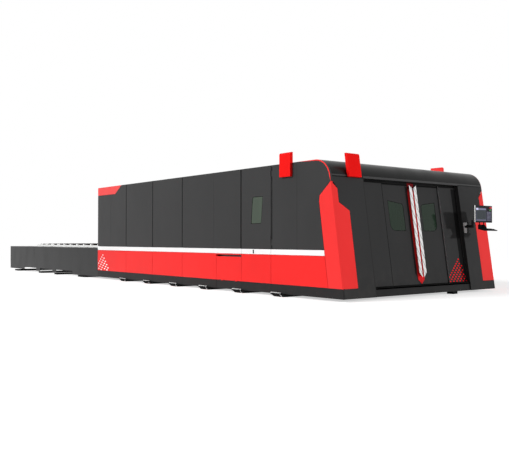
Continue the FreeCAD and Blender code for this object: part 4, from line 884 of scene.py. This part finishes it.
class CUTTER_OT_gaskets(bpy.types.Operator):
    """Rubber gaskets round the three windows"""

    bl_idname = "cutter.gaskets"
    bl_label = "Window gaskets"

    def execute(self, context):
        width = context.scene.cutter_sizes.gasket
        near = round_corners(*DOOR_WINDOW)
        far = (near * (-1, 1))[::-1]
        for side, outline in (("near", near), ("far", far)):
            points, faces = gasket(outline, width)
            ring = on_door_end((points + (0, 0, LEAF_FRONT), faces))
            add_piece("window_gasket_" + side, ring, "rubber", body="front_door_" + side)
        ring = on_near_side(gasket(round_corners(*SIDE_WINDOW), width))
        add_piece("side_window_gasket", ring, "rubber", body="side_door")
        return {"FINISHED"}


# ---- seals and joints
PANEL_SEAMS = REAR_X + 1.589, REAR_X + 2.898, REAR_X + 4.189
BEAD_TOP = ROOF_Z - 0.003
BEAD_LENGTH = ROOF_Z - STRIPE_HIGH - 0.010
HINGE_GAPS = (0.105, 0.200), (BEAD_TOP - 1.035, BEAD_TOP - 0.925)  # down from the bead's top
SILL_SHADOW_HALF = 1.348
SKIDS = 6


def door_end_strip(y0, y1, z0, z1, out, thick, edge=0.003):
    """Flat strip on a face parallel to the door end's plane, `out` from that plane, its outer edges eased."""
    strip = slab(rectangle(y0, y1, z0, z1), [(0, out), (0, out + 0.6 * thick), (edge, out + thick)])
    return on_door_end(strip)


def bead(half_width, height, start, end, x=0.0):
    """Low rubber bead with a flat middle, carried straight along the third axis."""
    w, h, length = half_width, height, end - start
    profile = [(-w, 0), (w, 0), (0.92 * w, 0.55 * h), (0.6 * w, h), (-0.6 * w, h), (-0.92 * w, 0.55 * h)]
    layers = [(0.0006, 0.0), (0, 0.0015), (0, length - 0.0015), (0.0006, length)]
    points, faces = slab(np.array(profile, float), layers)
    return points + (x, 0, start), faces


def hung(shape, side):
    """A shape given as (along the side, out of it, down from the beads' top), on the near or the far side."""
    sign = {"near": 1, "far": -1}[side]
    return placed(shape, (0, -HALF * sign, BEAD_TOP), (sign, 0, 0), (0, -sign, 0))


class CUTTER_OT_seals(bpy.types.Operator):
    """Seals along the tops and feet of the doors and fixed panels, also standing in for the shade under the
    fascia and over the sill, and the strips beside them: a painted shadow of the far jamb and a lightened edge
    """

    bl_idname = "cutter.seals"
    bl_label = "Door seals"

    def execute(self, context):
        low, high = SILL_TOP + 0.002, FASCIA_LOW - 0.026
        foot = low, low + 0.022
        inner, outer = LEAF_OUTER - 0.010, RECESS - 0.018  # the fixed panels' inner edge and the jamb
        head = LEAF_TOP - 0.040, LEAF_TOP - 0.0155
        # rubber seals at each leaf's top and foot, also standing in for the shade under the fascia and over the
        # sill
        leaf = joined(
            door_end_strip(LEAF_INNER + 0.092, LEAF_OUTER, *head, LEAF_FRONT, 0.003),
            door_end_strip(LEAF_INNER + 0.0015, LEAF_OUTER, *foot, LEAF_FRONT, 0.003),
        )
        add_piece("leaf_seal_far", leaf, "rubber", body="front_door_far")
        add_piece("leaf_seal_near", mirrored(leaf), "rubber", body="front_door_near")
        # rubber seals at the fixed panels' tops and feet, also standing in for the shade there
        seals_and_shadow = joined(
            door_end_strip(inner, outer, high - 0.020, high, FIXED_FRONT, 0.004),
            door_end_strip(inner, outer, *foot, FIXED_FRONT, 0.004),
        )
        add_piece("panel_seal_far", seals_and_shadow, "rubber")
        line = door_end_strip(inner, inner + 0.009, low + 0.023, high - 0.021, FIXED_FRONT, 0.001, 0.0003)
        add_piece("panel_seal_near", mirrored(joined(seals_and_shadow, line)), "rubber")
        # painted shadow of the gap under the doors, on the sill's front
        sill = rectangle(-SILL_SHADOW_HALF, SILL_SHADOW_HALF, SILL_TOP - 0.028, SILL_TOP - 0.004, 0.002)
        sill = facing_front(slab(sill, [(0, 0.0), (0, 0.0015)]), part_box("front_sill")[1].x)
        add_piece("sill_seal", sill, "gap_black")
        # painted shadow of the far jamb on its fixed panel, with the dots drawn over it
        painted_jamb_shadow = door_end_strip(RECESS - 0.148, outer, low + 0.023, high - 0.035, FIXED_FRONT, 0.002, 0.001)
        add_piece("jamb_strip", painted_jamb_shadow, "seal_paint")
        # pale strip on the far fixed panel's inner edge, painted light against the shade there
        edge = door_end_strip(inner - 0.0014, inner, low, high, FIXED_FRONT - 0.0185, 0.0195, 0.0003)
        add_piece("panel_edge_strip", edge, "edge_paint")
        return {"FINISHED"}


class CUTTER_OT_joints(bpy.types.Operator):
    """Black joint beads between the dark side panels, and plates, shoes and painted highlight strips at the
    skids' ends
    """

    bl_idname = "cutter.joints"
    bl_label = "Panel joints"

    def execute(self, context):
        half_width = context.scene.cutter_sizes.joint / 2
        joint = bead(half_width, 0.003, 0.0, BEAD_LENGTH)
        add_piece("panel_joints_near", hung(repeated(joint, row(PANEL_SEAMS)), "near"), "rubber")
        seams = -np.array([*PANEL_SEAMS, *DOOR_X])
        add_piece("panel_joints_far", hung(repeated(joint, row(seams)), "far"), "rubber")
        rear, front = DOOR_X[0] - 0.004 - half_width, DOOR_X[1] + 0.004 + half_width
        ends = [0.0, *HINGE_GAPS[0], *HINGE_GAPS[1], BEAD_LENGTH]
        beads = [bead(half_width, 0.0025, 0.0, BEAD_LENGTH, rear)]
        beads += [bead(half_width, 0.0025, *span, front) for span in zip(ends[::2], ends[1::2])]
        add_piece("door_edge_joints", hung(joined(*beads), "near"), "rubber")
        self.skid_ends()
        return {"FINISHED"}

    def skid_ends(self):
        """Dark plates that close the skirts' notches, and on each skid's end a black slanting shoe with a pale
        strip over it, a painted highlight for the light on the skid's top."""
        places = row(SKID_X + SKID_PITCH * np.arange(SKIDS))
        # name, finish and slot, depth in the side, corners (X, Z), their radius, and layers (inwards, out)
        for name, material, slot, depth, corners, radius, layers in (
            ("notch_plates", "base_paint", "base_paint", 0.0095,
             [(-0.172, 0.051), (0.172, 0.051), (0.146, 0.100), (-0.146, 0.100)], 0.004,
             [(0, 0.0), (0, 0.004), (0.0015, 0.0055)]),
            ("skid_shoes", "skid_paint", "black_paint", -0.0008,
             [(-0.17, 0.0012), (0.06, 0.0012), (-0.016, 0.060), (-0.30, 0.060)], 0.003,
             [(0.001, 0.0), (0, 0.002), (0, 0.046), (0.001, 0.048)]),
            ("skid_strips", "white_paint", "white_paint", -0.0008,
             [(-0.310, 0.0605), (-0.012, 0.0605), (-0.022, 0.0715), (-0.310, 0.0715)], 0.002,
             [(0.001, 0.0), (0, 0.002), (0, 0.018), (0.002, 0.020)]),
        ):
            shape = slab(round_corners(corners, [radius] * 4, 2), layers)
            shape = on_near_side(repeated(shape, places), depth)
            add_piece(name + "_near", shape, material, smooth=25.0)
            add_piece(name + "_far", mirrored(shape), material, smooth=25.0)


# ---- screen, buttons and keyboard
KEY_COLUMNS, KEY_ROWS = 4, 7  # flat keys beside the display
KEY_STEP, ROW_STEP = 0.0385, 0.0255
# turned buttons, as shares of their radius and of their cap's height
DOME = [[0.94, 0.0], [1.0, 0.12], [1.0, 0.45], [0.9, 0.72], [0.66, 0.9], [0.3, 0.98], [0.02, 1.0]]
DISH = [[0.97, 0.0], [1.0, 0.1], [1.0, 0.75], [0.93, 0.93], [0.8, 0.9], [0.02, 0.86]]
STEM_RADIUS = 0.008
# turned collar: distance out from its bore, and height
COLLAR = [(0.0, 0.0002), (0.0, 0.0020), (0.0006, 0.0026), (0.0017, 0.0026), (0.0023, 0.0020), (0.0023, 0.0002)]
COLLAR_GAP = 0.0007  # clear of the cap, which is pushed inside it


class CUTTER_OT_screen(bpy.types.Operator):
    """Lit pane, flat keys, buttons, collars and guard of the operator's screen"""

    bl_idname = "cutter.screen"
    bl_label = "Screen and buttons"

    def execute(self, context):
        low, high = screen_field()
        corners = np.array([low, (high[0], low[1]), high, (low[0], high[1])])
        outline = round_corners(inset(corners, 0.0005), [0.004] * 4)
        pane = slab(outline, [(0, -0.0019), (0, -0.0008), (0.0008, -0.0002)])
        add_piece("screen_pane", facing_front(pane, SCREEN_X), "display", body="screen", smooth=20.0)
        self.flat_keys()
        self.button("stop_button", "red_button", "red_plastic", 0.0063, DOME)
        self.button("start_button", "green_button", "green_plastic", 0.0043, DISH)
        return {"FINISHED"}

    def button(self, node, material, slot, cap, shares):
        """Turned button in place of its node, with its cap `cap` out of the screen, and a collar round it."""
        low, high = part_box(node)
        radius = (high.y - low.y) / 2
        centre = SCREEN_X, (low.y + high.y) / 2, (low.z + high.z) / 2
        rim = np.array(shares) * (radius, high.x - SCREEN_X - cap) + (0, cap)
        profile = np.concatenate([[(STEM_RADIUS, low.x - SCREEN_X), (STEM_RADIUS, cap)], rim])
        shape = facing_front(lathe(profile, 40), *centre)
        piece = add_piece(node + "_cap", shape, material, node)
        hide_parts(node)
        collar = lathe_ring(np.array(COLLAR) + (radius + COLLAR_GAP, 0))
        add_piece(node + "_collar", facing_front(collar, *centre), "zinc", "screen")

    def flat_keys(self):
        """Four columns of flat keys beside the display, and the stop button's red guard, in two halves left and
        right of its collar."""
        low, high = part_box("stop_button")
        y, z = (low.y + high.y) / 2, (low.z + high.z) / 2
        near, far = (high.y - low.y) / 2 + 0.0045, 0.042
        layers = [(0, 0.0001), (0, 0.0030), (0.002, 0.0045)]
        guard = joined(*[
            slab(rectangle(y + a, y + b, z - 0.0125, z + 0.0125, 0.004), layers)
            for a, b in ((-far, -near), (near, far))
        ])
        add_piece("stop_guard", facing_front(guard, SCREEN_X), "red_paint", "screen")
        key = slab(rectangle(0.0, 0.030, 0.0, 0.018, 0.003), [(0, 0.0001), (0, 0.0010), (0.0012, 0.0022)])
        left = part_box("monitor")[0].y + 0.376
        low = SCREEN_LOW + 0.040
        places = lattice(left + KEY_STEP * np.arange(KEY_COLUMNS), low + ROW_STEP * np.arange(KEY_ROWS))
        keys = facing_front(repeated(key, places), SCREEN_X)
        add_piece("flat_keys", keys, "pale_key_plastic", body="screen", smooth=25.0)


TRAY_TILT = math.radians(14.0)
TRAY_PLACE = SCREEN_X - 0.038, 0, SCREEN_LOW - 0.112  # rear end of the tray's face, in the middle plane
BALL_X, BALL_Y = 0.085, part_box("keyboard_tray")[0].y + 0.410
BALL_RADIUS = 0.017
TRAY_COLUMNS, TRAY_ROWS, ROW_SHIFT = 18, 5, 0.11  # keyboard's keys, each row shifted by a share of their pitch


def tray_place(shape, x=0.0, y=0.0):
    """A shape given in the tray's own axes: forwards down the slope, along Y, and out of its face."""
    shape = shape[0] + (x, y, 0), shape[1]
    down = math.cos(TRAY_TILT), 0, -math.sin(TRAY_TILT)
    return placed(shape, TRAY_PLACE, down, (0, 1, 0))


class CUTTER_OT_keyboard(bpy.types.Operator):
    """Keys, tracking ball and back plate of the tilted tray"""

    bl_idname = "cutter.keyboard"
    bl_label = "Keyboard"

    def execute(self, context):
        pitch = context.scene.cutter_sizes.key
        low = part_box("keyboard_tray")[0].y
        half = pitch * 0.44
        key = slab(rectangle(-half, half, -half, half, 0.002, 2),
                   [(0, -0.0048), (0.0002, 0.0005), (0.0012, 0.0022), (0.0024, 0.0026)])
        columns, rows = (steps.ravel() for steps in np.meshgrid(np.arange(TRAY_COLUMNS), np.arange(TRAY_ROWS)))
        places = row(0.040 + rows * pitch, low + 0.024 + (columns + rows * ROW_SHIFT) * pitch)
        keys = tray_place(repeated(key, places[places[:, 1] < low + 0.372]))
        add_piece("keyboard_keys", keys, "tray_plastic", body="screen", smooth=25.0)
        add_piece("tray_back", self.back(low), "tray_plastic", body="screen")
        angle = np.linspace(0, math.pi / 2 * 0.98, 9)
        ball = lathe(BALL_RADIUS * np.column_stack([np.cos(angle), np.sin(angle)]) - (0, 0.0052), 32)
        add_piece("tracking_ball", tray_place(ball, BALL_X, BALL_Y), "tray_plastic", body="screen")
        cup = lathe_ring([(0.0175, -0.0049), (0.0175, -0.001), (0.0195, 0.0006), (0.0225, -0.0049)])
        add_piece("tracking_ball_cup", tray_place(cup, BALL_X, BALL_Y), "plastic", body="screen")
        return {"FINISHED"}

    def back(self, low):
        """Plate that rises from the tray's rear edge behind its posts."""
        base, top = SCREEN_LOW - 0.118, SCREEN_LOW - 0.040
        corners = [(low + 0.015, base), (low + 0.325, base), (low + 0.230, top), (low + 0.015, top)]
        layers = [(0.001, 0.0), (0, 0.001), (0, 0.005), (0.001, 0.006)]
        return facing_front(slab(round_corners(corners, [0.006] * 4, 3), layers), SCREEN_X - 0.0445)


# ---- slats
SLATS, SLAT_THICK, TOOTH_DEPTH = 28, 0.006, 0.030
CLAMP_STEP = 0.5


def slat_outline(half_length, low, high, pitch):
    """Slat seen from its end: a straight foot and a row of teeth with flat tips, each a little burnt down by
    a slow wave along the slat."""
    count = int(2 * half_length / pitch)
    step = 2 * half_length / count
    tooth = np.arange(count)
    across = (-half_length + (tooth[:, None] + (0.0, 0.40, 0.60)) * step).ravel()
    burnt = 0.003 + 0.003 * np.sin(tooth * 2.7) * np.sin(tooth * 0.37 + 1.0)
    root = high - TOOTH_DEPTH
    rise = np.stack([np.full(count, root), high - burnt, high - burnt * 1.3], -1).ravel()
    end = [(half_length, root), (half_length, low), (-half_length, low)]
    return np.concatenate([np.column_stack([across, rise]), end])[::-1]


class CUTTER_OT_slats(bpy.types.Operator):
    """Toothed slats and clamps of the two pallets"""

    bl_idname = "cutter.slats"
    bl_label = "Pallet slats"

    def execute(self, context):
        pitch = context.scene.cutter_sizes.tooth
        for level in ("upper", "lower"):
            node = level + "_pallet_slats"
            low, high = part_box(node)
            half = SLAT_THICK / 2
            slat = facing_front(slab(slat_outline(high.y, low.z, high.z, pitch), [(0, -half), (0, half)]))
            slats = repeated(slat, row(np.linspace(low.x + half, high.x - half, SLATS)))
            piece = add_piece(level + "_slats", slats, "slat_steel", level + "_pallet", 20.0)
            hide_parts(node)
            self.clamps(level)
        return {"FINISHED"}

    def clamps(self, level):
        """Clamps on a pallet's two long tubes, evenly apart, that hold the slats' ends down."""
        low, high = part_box(level + "_pallet_frame")
        clamp = slab(rectangle(-0.045, 0.045, -0.034, 0.034, 0.006, 3), [(0, 0.0), (0, 0.024), (0.008, 0.037)])
        along = np.arange(low.x + 0.25, high.x - 0.1, CLAMP_STEP)
        places = lattice(along, (high.y - 0.040, low.y + 0.040), high.z)
        add_piece(level + "_pallet_clamps", repeated(clamp, places), "pallet_paint",
                  level + "_pallet", 25.0)


# ---- cabinets and small fastenings
LOUVRES, LOUVRE_STEP, LOCK_HEIGHT = 9, 0.026, 0.14
SKIRT_SCREW_STEP, REAR_SCREWS = 0.64, 9


class CUTTER_OT_cabinets(bpy.types.Operator):
    """Doors, louvres and locks of the control cabinet and the laser source"""

    bl_idname = "cutter.cabinets"
    bl_label = "Cabinets"

    def execute(self, context):
        rib = slab(rectangle(-0.16, 0.16, -0.005, 0.005, 0.004), [(0, 0.0), (0.0005, 0.004), (0.003, 0.0055)])
        for node, side in (("control_cabinet", -1), ("laser_source", 1)):
            low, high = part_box(node)
            half, top, bottom = (high.x - low.x) / 2, high.z, low.z
            face = (low.x + high.x) / 2, low.y if side < 0 else high.y, 0
            lock_low = top * 0.55
            door = slab(rectangle(0.03 - half, half - 0.03, bottom + 0.06, top - 0.04, 0.012),
                        [(0, 0.0), (0, 0.006), (0.002, 0.008)])
            heights = bottom + 0.16 + LOUVRE_STEP * np.arange(LOUVRES)
            ribs = repeated(rib, lattice((-0.24, 0.24), heights, 0.008))
            lock = slab(rectangle(half - 0.085, half - 0.063, lock_low, lock_low + LOCK_HEIGHT, 0.009),
                        [(0, 0.008), (0, 0.018), (0.004, 0.022)])
            for name, shape, material, slot in (
                ("_door", door, "machine_paint", "base_paint"),
                ("_louvres", ribs, "black_paint", "base_paint"),
                ("_lock", lock, "plastic", "screen_plastic"),
            ):
                add_piece(node + name, placed(shape, face, (-side, 0, 0), (0, 0, 1)), material)
        return {"FINISHED"}


class CUTTER_OT_fastenings(bpy.types.Operator):
    """Screws of the base skirts and the rear wall"""

    bl_idname = "cutter.fastenings"
    bl_label = "Fastenings"

    def execute(self, context):
        radius = context.scene.cutter_sizes.screw
        # low domed head with a recess, as shares of its radius
        head = np.array([(1.0, 0.0), (1.0, 0.25), (0.85, 0.5), (0.5, 0.6), (0.42, 0.25)])
        screw = lathe(head * radius, 12)
        low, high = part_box("base_skirt_near")
        x = np.arange(low.x + 0.15, high.x - 0.2, SKIRT_SCREW_STEP)
        for side, sign in (("near", 1), ("far", -1)):
            screws = repeated(screw, row(x * sign, 0.135))
            screws = placed(screws, (0, -HALF * sign, 0), (sign, 0, 0), (0, 0, 1))
            add_piece("skirt_screws_" + side, screws, "black_steel")
        low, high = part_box("rear_wall")
        screws = repeated(screw, row(np.linspace(low.y + 0.12, high.y - 0.12, REAR_SCREWS), high.z - 0.06))
        screws = placed(screws, (low.x, 0, 0), (0, -1, 0), (0, 0, 1))
        add_piece("rear_wall_screws", screws, "black_steel")
        return {"FINISHED"}


# ---- add-on
class CUTTER_PT_panel(bpy.types.Panel):
    """Lists the machine's pieces and their sizes and colours"""

    bl_idname = "CUTTER_PT_panel"
    bl_label = "Laser cutter"
    bl_space_type = "VIEW_3D"
    bl_region_type = "UI"
    bl_category = "Laser cutter"

    def draw(self, context):
        layout = self.layout
        for operator in OPERATORS:
            layout.operator(operator.bl_idname)
        for settings in (context.scene.cutter_colours, context.scene.cutter_sizes, context.scene.cutter_stage):
            box = layout.box()
            for name in settings.__annotations__:
                box.prop(settings, name)


OPERATORS = (
    CUTTER_OT_stage, CUTTER_OT_finishes, CUTTER_OT_gaskets, CUTTER_OT_seals, CUTTER_OT_joints,
    CUTTER_OT_cabinets, CUTTER_OT_screen, CUTTER_OT_keyboard, CUTTER_OT_slats, CUTTER_OT_fastenings,
)
SETTINGS = {"cutter_colours": CutterColours, "cutter_sizes": CutterSizes, "cutter_stage": CutterStage}


def register():
    for cls in (*SETTINGS.values(), *OPERATORS, CUTTER_PT_panel):
        bpy.utils.register_class(cls)
    for name, cls in SETTINGS.items():
        setattr(bpy.types.Scene, name, bpy.props.PointerProperty(type=cls))


def unregister():
    for name in SETTINGS:
        delattr(bpy.types.Scene, name)
    for cls in (CUTTER_PT_panel, *reversed(OPERATORS), *SETTINGS.values()):
        bpy.utils.unregister_class(cls)


def main():
    register()
    for operator in OPERATORS:
        group, name = operator.bl_idname.split(".")
        getattr(getattr(bpy.ops, group), name)()


if __name__ == "__main__":
    main()
